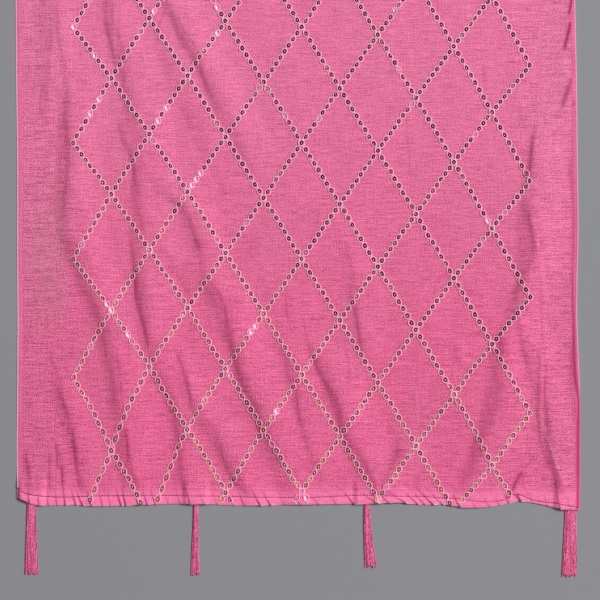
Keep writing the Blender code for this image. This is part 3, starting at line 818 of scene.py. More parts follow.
def thread_tree(name):
    """Round threads along the edges of a mesh.

    The thread keeps how far along and how far round each point is, for its twist.
    """
    tree, given = new_tree(name, {"Thread radius": "Float", "Flatness": "Float", "Sides": "Int"})
    line = add(tree, "GeometryNodeMeshToCurve", {0: given["Geometry"]})
    level = add(tree, "GeometryNodeSetCurveNormal", {"Curve": line}, mode="Z_UP")
    size = {"Resolution": given["Sides"], "Radius": given["Thread radius"]}
    ring = add(tree, "GeometryNodeCurvePrimitiveCircle", size)
    marked = {}
    for mark, curve, measure in (("along", level, "Length"), ("around", ring, "Factor")):
        value = add(tree, "GeometryNodeSplineParameter").outputs[measure]
        inputs = {"Geometry": curve, "Name": mark, "Value": value}
        marked[mark] = add(tree, "GeometryNodeStoreNamedAttribute", inputs, data_type="FLOAT", domain="POINT")
    squash = add(tree, "ShaderNodeCombineXYZ", {0: 1.0, 1: given["Flatness"], 2: 1.0})
    pressed = add(tree, "GeometryNodeTransform", {"Geometry": marked["around"], "Scale": squash})
    inputs = {"Curve": marked["along"], "Profile Curve": pressed, "Fill Caps": True}
    return end_tree(tree, add(tree, "GeometryNodeCurveToMesh", inputs), True, given)


def scatter_tree(name):
    """A small shape on each point of a mesh, turned and sized by the point's own attributes."""
    tree, given = new_tree(name, {"Shape": "Object"})
    shape = add(tree, "GeometryNodeObjectInfo", {"Object": given["Shape"], "As Instance": True})
    inputs = {
        "Points": add(tree, "GeometryNodeMeshToPoints", {"Mesh": given["Geometry"]}),
        "Instance": shape.outputs["Geometry"],
        "Rotation": add(tree, "GeometryNodeInputNamedAttribute", {"Name": "turn"}, data_type="QUATERNION"),
        "Scale": add(tree, "GeometryNodeInputNamedAttribute", {"Name": "size"}, data_type="FLOAT_VECTOR"),
    }
    return end_tree(tree, add(tree, "GeometryNodeInstanceOnPoints", inputs), False, given)


def stitch_tree(name):
    """Evenly spaced stitches along the edges of a mesh, each a short rounded bar."""
    tree, given = new_tree(name, {"Stitch length": "Float", "Gap": "Float", "Thread radius": "Float"})
    long, radius = given["Stitch length"], given["Thread radius"]
    pitch = add(tree, "ShaderNodeMath", {0: long, 1: given["Gap"]}, operation="ADD")
    half = add(tree, "ShaderNodeMath", {0: long, 1: 2.0}, operation="DIVIDE")
    line = add(tree, "GeometryNodeMeshToCurve", {0: given["Geometry"]})
    bar = add(tree, "GeometryNodeMeshUVSphere", {"Segments": 6, "Rings": 5, "Radius": 1.0})
    lying = {"Geometry": bar, "Rotation": (0.0, math.pi / 2, 0.0)}
    tangent = add(tree, "GeometryNodeInputTangent")
    inputs = {
        "Points": add(tree, "GeometryNodeResampleCurve", {"Curve": line, "Length": pitch}, mode="LENGTH"),
        "Instance": add(tree, "GeometryNodeTransform", lying),
        "Rotation": add(tree, "FunctionNodeAlignRotationToVector", {"Vector": tangent}, axis="X"),
        "Scale": add(tree, "ShaderNodeCombineXYZ", {0: half, 1: radius, 2: radius}),
    }
    return end_tree(tree, add(tree, "GeometryNodeInstanceOnPoints", inputs), True, given)


TREES = {
    "Thread along a line": thread_tree,
    "Shape on each point": scatter_tree,
    "Stitches along a line": stitch_tree,
}


def grown(name, kind, seed_mesh, values):
    """The piece that a tree makes from a mesh, as a plain object with no modifier."""
    tree = bpy.data.node_groups.get(kind) or TREES[kind](kind)
    source = add_object(f"{name}_lines", seed_mesh)
    modifier = source.modifiers.new("Grow", "NODES")
    modifier.node_group = tree
    for item in tree.interface.items_tree:
        if item.in_out == "INPUT" and item.name in values:
            modifier[item.identifier] = values[item.name]
    graph = bpy.context.evaluated_depsgraph_get()
    mesh = bpy.data.meshes.new_from_object(source.evaluated_get(graph))
    if not mesh.polygons:
        raise RuntimeError(f"{name}: its tree made nothing")
    mesh.name = name
    bpy.data.objects.remove(source)
    bpy.data.meshes.remove(seed_mesh)
    return add_object(name, mesh)


def thread_piece(name, lines, radius, flatness, sides, finish):
    """A piece of round or flattened threads, one along each array of points in metres."""
    edges, start = [], 0
    for line in lines:
        edges += [(start + i, start + i + 1) for i in range(len(line) - 1)]
        start += len(line)
    mesh = new_mesh(f"{name}_lines", np.concatenate(lines), edges)
    values = {"Thread radius": radius, "Flatness": flatness, "Sides": sides, "Finish": finish}
    return grown(name, "Thread along a line", mesh, values)


# ---------------------------------------------------------------- embroidery and tassels

LATTICE_LEFT = -224.8
LATTICE_RIGHT = 231.8
DIAMONDS_ACROSS = 6
LATTICE_NEAR = 21.9
DIAMOND_HEIGHT = 115.9
HALF_ROWS = 35  # half diamonds from the nearest row of crossings to the far end
MIDDLE_HALF_ROW = 17
CUT_INSIDE = 1.5  # the lines stop this far inside a hem's outer edge

# The weft isn't square to the edges: how far it dips towards the near hem.
BOW = (
    # x, dip
    (-281, 14.0), (-225, 8.5), (-187, 1.5), (-151, -0.5), (-113, -1.0), (-77, 1.8), (-37, 5.0),
    (0, 7.8), (77, 15.6), (153, 27.0), (192, 35.0), (230, 46.0), (281, 60.0),
)
BOW_ENDS = (620.0, 700.0)  # from here on, over this far, the bow dies out
# Near the left corner the cloth is stretched towards the hem: how far along each
# y, and what share of that at each x.
STRETCH_DEPTH = (
    # y, depth
    (-40, 46.0), (0, 44.0), (20, 42.0), (41, 37.0), (55, 31.5), (64, 29.0), (72, 27.0), (81, 23.5),
    (90, 17.0), (100, 12.0), (107, 9.0), (118, 5.5), (128, 2.5), (140, 0.8), (155, 0.0),
)
STRETCH_SHARE = (
    # x, share
    (-290, 1.05), (-225, 1.05), (-205, 1.03), (-190, 1.0), (-180, 0.93), (-170, 0.88), (-150, 0.83),
    (-143, 0.8), (-135, 0.7), (-127, 0.53), (-119, 0.34), (-111, 0.23), (-90, 0.1), (-75, 0.02),
    (-60, 0.0),
)
PULLS = listed(
    Pull,
    # x, y, width, length, depth
    (-60, 15, 40, 30, 8), (190, 40, 40, 30, 5),
)
# Where single sequins lie tipped over, and catch the lamp: each is turned to the lamp and also given a
# painted flash.
GLINTS = listed(
    Glint,
    # x, y, reach
    (-199, 404, 6), (-207, 391, 4), (-203, 450, 4), (-224, 479, 4), (-148, 491, 4), (-142, 384, 4),
    (-133, 395, 4), (-86, 497, 10), (-85, 471, 4), (-104, 325, 9), (-190, 196, 6), (-172, 168, 4),
    (-48, 178, 7), (-23, 95, 4), (7, 490, 4), (4, 4, 5), (188, 284, 5), (172, 486, 4),
)
SEED = 7

CHAIN_SAMPLES = 4  # from a sequin to the next
CHAIN_SIDES = 6
CHAIN_RIDE = 0.3  # how far the thread rides up beside a sequin, and again where lines cross
CHAIN_FLAT = 0.4  # a thread's height as a share of its width
CHAIN_OVER = 0.5  # how far one thread passes over the other, as a share of its height
LOOP_ROUND = 0.6  # under 1, so that the loops are rounder than a wave
LOOP_UNEVEN = 0.13
LOOP_SHIFT = 0.2

SEQUIN_FACETS = 10
SEQUIN_THICK = 0.12
SEQUIN_CLEAR = 0.15  # the sequin's underside over the cloth
SEQUIN_TILT = 0.11
SEQUIN_LEAN = 0.12  # how far a sequin's longer axis leans with its line
SEQUIN_OVAL = (1.12, 0.8, 1.0)
SEQUIN_UNEVEN = (0.95, 1.05)
SEQUIN_SIZES = (0.96, 0.18)  # the size away from the near hem, and what is added beside it
SEQUIN_SIZE_ENDS = (190.0, 170.0)
NORMAL_REACH = 1.5  # how far from a sequin the cloth's slope is read
KNOT_FACETS = 6
KNOT_RINGS = ((1.0, 0.7, 0.0), (0.6, 0.4, 0.4))  # two radii and a height
KNOT_RISE = 0.05
GLINT_TILT = 0.03
GLINT_CUP = 0.25  # a sequin lying flat to the lamp, as a share of the cup's depth
GLINT_GROWN = 1.18  # and seen face on
# Tones: 0 is the darkest film, its dark a painted reflection, and 1 the most golden. Over 1.5 a sequin has a
# painted flash.
FLASH_TONE = 2.0
# A few sequins get a paler, painted half-lit tone, and are not turned for it.
HALF_LIT_TONE = (1.55, 1.8)
HALF_LIT_SHARE = 0.1  # on the lines that run up to the right, where most sequins lie tipped to the lamp
HALF_LIT_OTHER = 0.04  # and on the others
HALF_LIT_FROM = 90.0
TONE_LEAST = 0.04
TONE_NEAR = 0.76  # a painted golden reflection, added beside the near hem and further along at the left
TONE_NEAR_ENDS = (350.0, 270.0)
TONE_LEAN = 0.4
TONE_FAR = 0.35  # added towards the far end
TONE_FAR_BEGINS = (700.0, 600.0)
TONE_WANDER = 0.10
ODD_SHARE = 0.08  # this share of all sequins is more golden by ODD_TONE
ODD_TONE = 0.35


def lattice_point(across, along):
    """x and y of the lattice, counted in half diamonds across and from the nearest crossings."""
    x = LATTICE_LEFT + across * (LATTICE_RIGHT - LATTICE_LEFT) / DIAMONDS_ACROSS / 2
    straight = LATTICE_NEAR + along * DIAMOND_HEIGHT / 2
    y = straight - eased(x, BOW) * (1 - rising(straight, *BOW_ENDS))
    dip = sum(
        p.depth * np.exp(-(((x - p.x) / p.wide) ** 2) - ((y - p.y) / p.long) ** 2) for p in PULLS
    )
    stretch = eased(y, STRETCH_DEPTH) * eased(x, STRETCH_SHARE)
    return x, y - dip - stretch


def lattice_lines(per_side, samples):
    """The zigzag lines from the far end to the near one.

    Each is x, y, the count of sequins passed, and the place across in half
    diamonds, with so many samples from a sequin to the next.
    """
    last = 2 * DIAMONDS_ACROSS
    count = (HALF_ROWS + 1) * per_side * samples + 1
    passed = np.arange(count) / samples
    for start in range(HALF_ROWS % 2, last + 1, 2):
        for step in (-1, 1):
            if (start == 0 and step < 0) or (start == last and step > 0):
                continue
            swing = (start + step * passed / per_side) % (2 * last)
            across = last - np.abs(last - swing)
            x, y = lattice_point(across, HALF_ROWS - passed / per_side)
            yield x, y, passed, across


def on_the_cloth(x, y):
    return (y > CUT_INSIDE - hem_out(x)) & (y < LENGTH + hem_out(-x) - CUT_INSIDE)


def chain_strands(per_side, width, radius, end):
    """Two threads a line, which cross between sequins and pass on each side of them."""
    draw = np.random.default_rng(SEED)
    strands = []
    # Every line passes the middle of the stole at this sample, at a sequin.
    middle = (HALF_ROWS - MIDDLE_HALF_ROW) * per_side * CHAIN_SAMPLES
    part = slice(middle, None) if end.name == "near" else slice(0, middle + 1)
    for x, y, passed, _ in lattice_lines(per_side, CHAIN_SAMPLES):
        dx, dy = np.gradient(x), np.gradient(y)
        length = np.hypot(dx, dy)
        starts_right = dx[0] > 0
        crossing = np.exp(-(((passed + per_side / 2) % per_side - per_side / 2) ** 2))
        keep = on_the_cloth(x, y)[part]
        loops = np.arange(passed[-1] + 1)
        swing = np.cos(math.pi * passed)
        shift = np.interp(passed, loops, draw.normal(0.0, LOOP_SHIFT, len(loops)))
        ride = CHAIN_RIDE * swing**2 + CHAIN_RIDE * starts_right * crossing
        for which in (-1, 1):
            uneven = np.interp(passed, loops, draw.normal(1.0, LOOP_UNEVEN, len(loops)))
            sway = which * uneven * width / 2 * np.sign(swing) * np.abs(swing) ** LOOP_ROUND + shift
            sx, sy = x - dy / length * sway, y + dx / length * sway
            over = CHAIN_OVER * which * np.sin(math.pi * passed)
            z = upper(sx, sy) + radius * CHAIN_FLAT * (1 + over) + ride
            strands.append(place(sx, sy, z)[part][keep])
    return strands


def sequin_places(per_side):
    """x, y and direction of every sequin, each crossing once."""
    rows = []
    last = 2 * DIAMONDS_ACROSS
    for x, y, passed, across in lattice_lines(per_side, 1):
        leaving = np.append(np.diff(across), 0.0) > 0
        at_crossing = passed % per_side == 0
        keep = on_the_cloth(x, y) & (~at_crossing | leaving | np.isclose(across, last))
        rows.append(np.stack([x, y, np.gradient(x), np.gradient(y)])[:, keep])
    return np.hstack(rows)


def slope_normals(x, y):
    """The upper face's normals, from its height a little way off."""
    d = NORMAL_REACH
    dzdx = (upper(x + d, y) - upper(x - d, y)) / (2 * d)
    dzdy = (upper(x, y + d) - upper(x, y - d)) / (2 * d)
    n = np.stack([-dzdx, -dzdy, np.ones_like(dzdx)], axis=-1)
    return n / np.linalg.norm(n, axis=-1, keepdims=True)


def turn_of(normal, along):
    """The quaternion that stands a shape's Z on the normal and lays its X along a direction."""
    z = Vector(normal).normalized()
    y = z.cross(Vector(along)).normalized()
    x = y.cross(z)
    return Matrix((x, y, z)).transposed().to_quaternion()


def sequin_tone(x, y, wander, odd):
    """How golden each sequin is: most so beside the near hem, where that is a painted reflection, and more
    again towards the far end.
    """
    tone = TONE_LEAST + TONE_NEAR * falling(TONE_LEAN * x + y, *TONE_NEAR_ENDS)
    tone = tone + TONE_FAR * rising(y, *TONE_FAR_BEGINS) + TONE_WANDER * wander
    return np.clip(tone + np.where(odd < ODD_SHARE, ODD_TONE, 0.0), 0.0, 1.0)


def laid_sequins(sizes):
    """The place in metres, turn, scale and tone of every sequin that hasn't fallen off."""
    draw = np.random.default_rng(SEED)
    x, y, dx, dy = sequin_places(sizes.sequins_per_side)
    count = len(x)
    glinting = np.any([np.hypot(x - g.x, y - g.y) < g.reach for g in GLINTS], axis=0)
    tips = draw.normal(0.0, SEQUIN_TILT, (count, 2))
    tone = sequin_tone(x, y, draw.normal(0.0, 1.0, count), draw.random(count))
    # A painted flash on the glinting sequins, which are also turned to the lamp below.
    tone[glinting] = FLASH_TONE
    lamp = Vector(KEY_OFFSET).normalized()
    normals = slope_normals(x, y)
    normals[glinting] = (lamp + Vector((0, 0, 1))).normalized()
    normals[:, :2] += tips * np.where(glinting, GLINT_TILT / SEQUIN_TILT, 1.0)[:, None]
    turns = np.array([turn_of(n, (SEQUIN_LEAN * a / b, 1.0, 0.0)) for n, a, b in zip(normals, dx, dy)])
    there = draw.random(count) > sizes.missing_share
    # A painted half-lit tone on a few sequins.
    half_lit = draw.random(count) < np.where(dx * dy > 0, HALF_LIT_SHARE, HALF_LIT_OTHER)
    half_lit = half_lit & ~glinting & (y > HALF_LIT_FROM)
    tone = np.where(half_lit, draw.uniform(*HALF_LIT_TONE, count), tone)
    scale = np.outer(draw.uniform(*SEQUIN_UNEVEN, count), SEQUIN_OVAL)
    size, added = SEQUIN_SIZES
    scale *= (size + added * falling(y, *SEQUIN_SIZE_ENDS))[:, None]
    scale[glinting] *= (GLINT_GROWN, GLINT_GROWN, GLINT_GROWN * GLINT_CUP)
    places = place(x, y, upper(x, y) + SEQUIN_CLEAR)
    return places[there], turns[there], scale[there], tone[there]


def ring_shape(name, rings, around, closed):
    """A small shape through level oval rings, each two radii and a height in metres."""
    angles = [2 * math.pi * k / around for k in range(around)]
    points = [(a * math.cos(angle), b * math.sin(angle), z) for a, b, z in rings for angle in angles]
    return new_mesh(name, points, faces=ring_faces(len(rings), around, closed))


def sequin_shape(sizes):
    """One faceted sequin: a shallow cup with a round hole, its top and underside meeting at the rim."""
    hole, rim = sizes.sequin_hole, sizes.sequin_radius
    rings = ((hole, hole, 0.0), (rim, rim, sizes.sequin_cup), (hole, hole, SEQUIN_THICK * MM))
    return ring_shape("sequin_shape", rings, SEQUIN_FACETS, True)


def knot_shape():
    """The bar of thread through a sequin's hole: a low long dome."""
    return ring_shape("knot_shape", np.array(KNOT_RINGS) * MM, KNOT_FACETS, False)


def tassel_lines(tassel, end, seed, radius):
    """The threads of one tassel, from their tucked roots to their uneven tips."""
    draw = np.random.default_rng(seed)
    share = np.linspace(0, 1, TASSEL_SAMPLES)
    per_layer = round(tassel.threads * TASSEL_SHARE)
    lines = []

    def wave(height, least, most):
        return height * np.sin(share * draw.uniform(least, most) + draw.uniform(0, 6))

    for layer, narrowed in enumerate(TASSEL_LAYERS):
        for k in range(per_layer):
            at = (k + 0.5 + draw.uniform(-TASSEL_SPREAD, TASSEL_SPREAD)) / per_layer - 0.5
            reach = TASSEL_TUCK + tassel.length - draw.uniform(0, TASSEL_UNEVEN) * (layer + k > 0)
            width = (tassel.root + (tassel.tip - tassel.root) * share) * narrowed
            sway = wave(*TASSEL_WANDER) * share + wave(*TASSEL_CRIMP)
            x = tassel.across + (width - 2 * radius) * at + tassel.lean * share**2 + sway
            y = TASSEL_TUCK - hem_out(np.array(tassel.across)) - reach * share
            top = radius + TASSEL_RISE * layer * (1 - TASSEL_SETTLE * share) + TASSEL_CLEAR
            height, *turns = TASSEL_WAVE
            z = top + height * wave(1.0, *turns) ** 2
            lines.append(place(*at_end(end, x, y), z))
    return lines


# ---------------------------------------------------------------- finishes

# Thread spacings are about four times the real ones, so that they show from a step away.
# Length and spacing of the streaks in millimetres, their share of the relief, and their detail.
WEAVE = (
    (40.0, 1.2, 0.21, 2.0),  # thick places in the weft
    (11.0, 0.85, 0.23, 1.0),  # weft
    (1.1, 26.0, 0.09, 1.0),  # warp
    (1.0, 0.9, 0.51, 1.0),  # grain
)
STREAK_DEPTH = 50.0  # every streak's size through the cloth
STREAK_ROUGHNESS = 0.6
PLIES = 2
# Sizes of the other patterns along X, Y and Z, in millimetres.
MOTTLE = (60.0, 110.0, 500.0)
OPEN_STREAK = (8.0, 60.0, STREAK_DEPTH)
SPECKLE = (0.9, 2.2, 3.0)
STRAND = (1.4, 40.0, 1.0)
UNSHADED_STRETCH = (9.0, 500.0, 500.0)
SCUFF = (1.1, 1.1, 1.1)
PAINT_PATCH = (900.0, 900.0, 900.0)
PAINT_DARKER = 0.97
STITCH_DARKER = 0.6
DEEP_BELOW = 0.40  # the relief of a thread's deep sides
CROWN_ABOVE = 0.625  # and of its crown

# Ranges: low and high of what is read, then what those give, if not 0 and 1.
SHEER_IN_MOTTLE = (0.35, 0.7, 0.0, 0.5)
SHEER_IN_MARGIN = (0.215, 0.262, 0.0, 0.6)
FIRMER_IN_MARGIN = (0.2, 0.24, 0.0, 0.035)
# A painted sheen: the cloth is painted paler away from its hems.
PAINTED_SHEEN_FROM = 0.5  # the painted sheen is full as far as this from the middle
PAINTED_SHEEN_UNTIL = 0.94  # and gone from here on
PAINTED_SHEEN = 0.32
PAINTED_SHEEN_IN_DEEP = 0.35  # how much of the painted sheen lies on the threads' deep sides
PATCH_ACROSS = ((-0.277, -0.258), (-0.238, -0.226))  # the open patch: where it sets in, and dies out
PATCH_ALONG = ((-0.84, -0.79), (-0.74, -0.64))
PATCH_STREAKS = (0.35, 0.65, 0.2, 0.55)
LIT_PLY = (-1.0, 0.6, 0.0, 0.25)
LIT_SPECKLE = (0.44, 0.6, 0.0, 0.5)
LIT_STRAND = (0.35, 0.6, 0.0, 0.25)
# Along the middle of the hem the stitches' painted shade is lifted: where that begins and ends across, and
# how unevenly.
UNSHADED_ACROSS = ((-0.165, -0.14), (0.235, 0.25))
UNSHADED_UNEVEN = (0.4, 0.6, 0.35, 1.0)
GOLD_TONES = ((0.0, 1.0), (1.0, 1.4))
FLASH_TONES = (1.5, 2.0)
SCUFFED = (0.3, 0.7, 0.22, 0.38)
GOLD_ROUGH = 0.32
FLASH_ROUGH = 0.46
METAL_IN_FLASH = (0.0, 1.0, 0.95, 0.25)


def new_finish(name):
    finish = bpy.data.materials.new(name)
    finish.use_nodes = True
    tree = finish.node_tree
    shader = tree.nodes["Principled BSDF"]
    return finish, tree, shader


def from_to(value, low, high, to_low=0.0, to_high=1.0):
    """The inputs of a node that maps a value from one range to another."""
    return {"Value": value, "From Min": low, "From Max": high, "To Min": to_low, "To Max": to_high}


def between(tree, value, rise, fall):
    """1 between where a value rises and where it falls away, and 0 outside."""
    ends = [
        add(tree, "ShaderNodeMapRange", inputs, interpolation_type="SMOOTHSTEP")
        for inputs in (from_to(value, *rise), from_to(value, *fall, 1.0, 0.0))
    ]
    return add(tree, "ShaderNodeMath", dict(enumerate(ends)), operation="MULTIPLY")


def patches(tree, sizes, detail=2.0, roughness=0.5, mapped=None):
    """Noise whose blobs are about this long along X, Y and Z in millimetres, mapped to a range if given."""
    coords = add(tree, "ShaderNodeTexCoord").outputs["Object"]
    scale = [1 / (size * MM) for size in sizes]
    placed = add(tree, "ShaderNodeMapping", {"Vector": coords, "Scale": scale})
    inputs = {"Vector": placed, "Scale": 1.0, "Detail": detail, "Roughness": roughness}
    noise = add(tree, "ShaderNodeTexNoise", inputs)
    if mapped is None:
        return noise
    return add(tree, "ShaderNodeMapRange", from_to(noise, *mapped), interpolation_type="SMOOTHSTEP")


def coloured(tree, colour, layers):
    """A colour with others laid over it, each by its share."""
    for share, over in layers:
        first, second = (c if isinstance(c, bpy.types.Node) else (*c, 1.0) for c in (colour, over))
        colour = add(tree, "ShaderNodeMix", {0: share, 6: first, 7: second}, data_type="RGBA")
    return colour


def joined(tree, operation, *values):
    """Three or more numbers added or multiplied together."""
    total = values[0]
    for value in values[1:]:
        total = add(tree, "ShaderNodeMath", {0: total, 1: value}, operation=operation)
    return total


def woven_relief(tree):
    """The height of a plain weave's face: streaks along the weft, lines along the warp, and grain."""
    parts = []
    for across, along, share, detail in WEAVE:
        streaks = patches(tree, (across, along, STREAK_DEPTH), detail, STREAK_ROUGHNESS)
        parts.append(add(tree, "ShaderNodeMath", {0: streaks, 1: share}, operation="MULTIPLY"))
    return joined(tree, "ADD", *parts)


def open_patch(tree, x, y):
    """How far the table shows through the open-woven patch in the left margin."""
    streaks = patches(tree, OPEN_STREAK, mapped=PATCH_STREAKS)
    inside = between(tree, x, *PATCH_ACROSS), between(tree, y, *PATCH_ALONG)
    return joined(tree, "MULTIPLY", *inside, streaks)


def chanderi_cloth(name, colours, doubled):
    """Plain-woven chanderi, fine cotton crossed with silk, dyed in the piece and pressed.

    The eye gets a matt, slightly sheer face with a soft silk sheen, streaks
    where a weft thread is thicker, and a fine uneven grain. A painted sheen makes
    it paler away from the hems. Painted shade lies at its edges, gathers, tucks
    and pressed lines, and painted light lies along its edges and raised lines.
    """
    finish, tree, shader = new_finish(name)
    relief = woven_relief(tree)
    face = colours.doubled if doubled else colours.cloth
    deep = colours.doubled_deep if doubled else colours.cloth_deep
    sheer = colours.doubled if doubled else colours.cloth_sheer
    coords = add(tree, "ShaderNodeTexCoord").outputs["Object"]
    x, y, _ = add(tree, "ShaderNodeSeparateXYZ", {"Vector": coords}).outputs
    from_axis, from_middle = (add(tree, "ShaderNodeMath", {0: c}, operation="ABSOLUTE") for c in (x, y))
    margin, firmer, painted_sheen_share = (
        add(tree, "ShaderNodeMapRange", inputs, interpolation_type="SMOOTHSTEP")
        for inputs in (
            from_to(from_axis, *SHEER_IN_MARGIN),
            from_to(from_axis, *FIRMER_IN_MARGIN),
            from_to(from_middle, PAINTED_SHEEN_FROM, PAINTED_SHEEN_UNTIL, 0.0 if doubled else PAINTED_SHEEN, 0.0),
        )
    )
    low = add(tree, "ShaderNodeMath", {0: firmer, 1: DEEP_BELOW}, operation="ADD")
    high = add(tree, "ShaderNodeMath", {0: CROWN_ABOVE, 1: firmer}, operation="SUBTRACT")
    in_deep = add(tree, "ShaderNodeMapRange", from_to(relief, low, high, 1.0, 0.0))
    painted_sheen_on_deep = add(tree, "ShaderNodeMath", {0: painted_sheen_share, 1: PAINTED_SHEEN_IN_DEEP}, operation="MULTIPLY")
    shaded, glowing = (
        add(tree, "ShaderNodeAttribute", attribute_name=mark).outputs["Fac"] for mark in ("shaded", "glowing")
    )
    # Colours laid over the face: sheer patches, the table seen through, the painted sheen, the weave's deep
    # sides, then painted shade and painted light.
    layers = (
        (patches(tree, MOTTLE, mapped=SHEER_IN_MOTTLE), sheer),
        (margin, sheer),
        (open_patch(tree, x, y), colours.table_seen),
        (painted_sheen_share, colours.cloth_painted_sheen),
        (in_deep, coloured(tree, deep, [(painted_sheen_on_deep, colours.cloth_painted_sheen)])),
        (shaded, colours.edge_deep),
        (glowing, colours.edge_glow),
    )
    bump = add(tree, "ShaderNodeBump", {"Strength": 0.7, "Distance": 0.5 * MM, "Height": relief})
    wire(tree, shader, {"Base Color": coloured(tree, face, layers), "Normal": bump, "Roughness": 0.78})
    wire(tree, shader, {"Specular IOR Level": 0.25, "Sheen Weight": 0.12, "Sheen Roughness": 0.4})
    wire(tree, shader, {"Sheen Tint": (1.0, 0.75, 0.85, 1.0)})
    return finish


def twisted_thread(name, light, deep, twist, roughness, gloss=0.5, sheen=0.45):
    """Filament thread, such as viscose or rayon, twisted from two plies and dyed.

    The eye gets short slanting highlights down each thread, with dark lines
    where the plies meet. A turn of the twist is this long in millimetres.
    """
    finish, tree, shader = new_finish(name)
    along, around = (
        add(tree, "ShaderNodeAttribute", attribute_name=mark).outputs["Fac"] for mark in ("along", "around")
    )
    turned = add(tree, "ShaderNodeMath", {0: along, 1: 1 / (twist * MM)}, operation="MULTIPLY")
    turns = add(tree, "ShaderNodeMath", {0: turned, 1: around}, operation="ADD")
    phase = add(tree, "ShaderNodeMath", {0: turns, 1: PLIES * 2 * math.pi}, operation="MULTIPLY")
    ply = add(tree, "ShaderNodeMath", {0: phase}, operation="SINE")
    lit = joined(
        tree,
        "ADD",
        add(tree, "ShaderNodeMapRange", from_to(ply, *LIT_PLY), interpolation_type="SMOOTHSTEP"),
        patches(tree, SPECKLE, roughness=STREAK_ROUGHNESS, mapped=LIT_SPECKLE),
        patches(tree, STRAND, 1.0, mapped=LIT_STRAND),
    )
    bump = add(tree, "ShaderNodeBump", {"Strength": 0.35, "Distance": 0.12 * MM, "Height": ply})
    wire(tree, shader, {"Base Color": coloured(tree, deep, [(lit, light)]), "Normal": bump})
    wire(tree, shader, {"Roughness": roughness, "Specular IOR Level": gloss, "Sheen Weight": sheen})
    wire(tree, shader, {"Sheen Roughness": 0.35, "Sheen Tint": (1.0, 0.5, 0.72, 1.0)})
    return finish


def embroidery_thread(name, colours):
    """Bright rayon, loosely twisted, with more gloss and sheen than the tassels' thread."""
    look = {"twist": 1.6, "roughness": 0.42, "gloss": 1.0, "sheen": 1.0}
    return twisted_thread(name, colours.chain, colours.chain_deep, **look)


def sewing_thread(name, colours):
    """Spun polyester sewing thread, with each stitch pulled into the cloth.

    The eye gets a dark dashed line: the thread's colour darkened by painted shade,
    which is lifted, unevenly, along the middle of the hem, so that it is pinker there.
    """
    deep = tuple(c * STITCH_DARKER for c in colours.stitching)
    finish = twisted_thread(name, colours.stitching, deep, twist=0.9, roughness=0.5)
    tree = finish.node_tree
    shader = tree.nodes["Principled BSDF"]
    plain = shader.inputs["Base Color"].links[0].from_node
    coords = add(tree, "ShaderNodeTexCoord").outputs["Object"]
    x = add(tree, "ShaderNodeSeparateXYZ", {"Vector": coords})
    # Painted shade darkens the stitches towards the hem's ends; along the middle it is lifted, unevenly.
    inside, uneven = between(tree, x, *UNSHADED_ACROSS), patches(tree, UNSHADED_STRETCH, mapped=UNSHADED_UNEVEN)
    unshaded = add(tree, "ShaderNodeMath", {0: inside, 1: uneven}, operation="MULTIPLY")
    wire(tree, shader, {"Base Color": coloured(tree, plain, [(unshaded, colours.stitching_unshaded)])})
    return finish


def sequin_film(name, colours):
    """Polyester film, metallised by vacuum coating and punched into small cups.

    The eye gets dark mirrors, their dark a painted reflection, more golden
    beside the near hem, also a painted reflection, some browner or more golden
    than their neighbours, a paler few with a painted half-lit tone, and a soft
    flash from those that lie tipped to the lamp, painted pale as well.
    """
    finish, tree, shader = new_finish(name)
    tone = add(tree, "ShaderNodeAttribute", attribute_name="tone").outputs["Fac"]
    golden = between(tree, tone, *GOLD_TONES)
    flash = add(tree, "ShaderNodeMapRange", from_to(tone, *FLASH_TONES), interpolation_type="SMOOTHSTEP")
    metal = add(tree, "ShaderNodeMapRange", from_to(flash, *METAL_IN_FLASH), interpolation_type="SMOOTHSTEP")
    # The film's dark, and the gold that gathers beside the near hem, are painted reflection. The flash colour
    # is a painted highlight.
    layers = ((golden, colours.sequin_gold), (flash, colours.sequin_flash))
    colour = coloured(tree, colours.sequin_dark_reflection, layers)
    rougher = [
        add(tree, "ShaderNodeMath", {0: share, 1: by}, operation="MULTIPLY")
        for share, by in ((golden, GOLD_ROUGH), (flash, FLASH_ROUGH))
    ]
    rough = joined(tree, "ADD", patches(tree, SCUFF, mapped=SCUFFED), *rougher)
    wire(tree, shader, {"Base Color": colour, "Roughness": rough, "Metallic": metal})
    wire(tree, shader, {"Specular IOR Level": 0.3, "Specular Tint": (1.0, 0.55, 0.7, 1.0)})
    return finish


def table_paint(name, colours):
    """A sprayed, matt grey table top, with only a trace of unevenness."""
    finish, tree, shader = new_finish(name)
    darker = tuple(c * PAINT_DARKER for c in colours.floor)
    colour = coloured(tree, darker, [(patches(tree, PAINT_PATCH, 1.0), colours.floor)])
    wire(tree, shader, {"Base Color": colour, "Roughness": 0.9, "Specular IOR Level": 0.1})
    return finish


# ---------------------------------------------------------------- properties


def length_of(label, description, default):
    return bpy.props.FloatProperty(
        name=label, description=description, default=default, min=0.0, unit="LENGTH", precision=5
    )


def colour_of(label, description, code):
    return bpy.props.FloatVectorProperty(
        name=label, description=description, default=linear(code), subtype="COLOR", min=0.0, max=1.0
    )


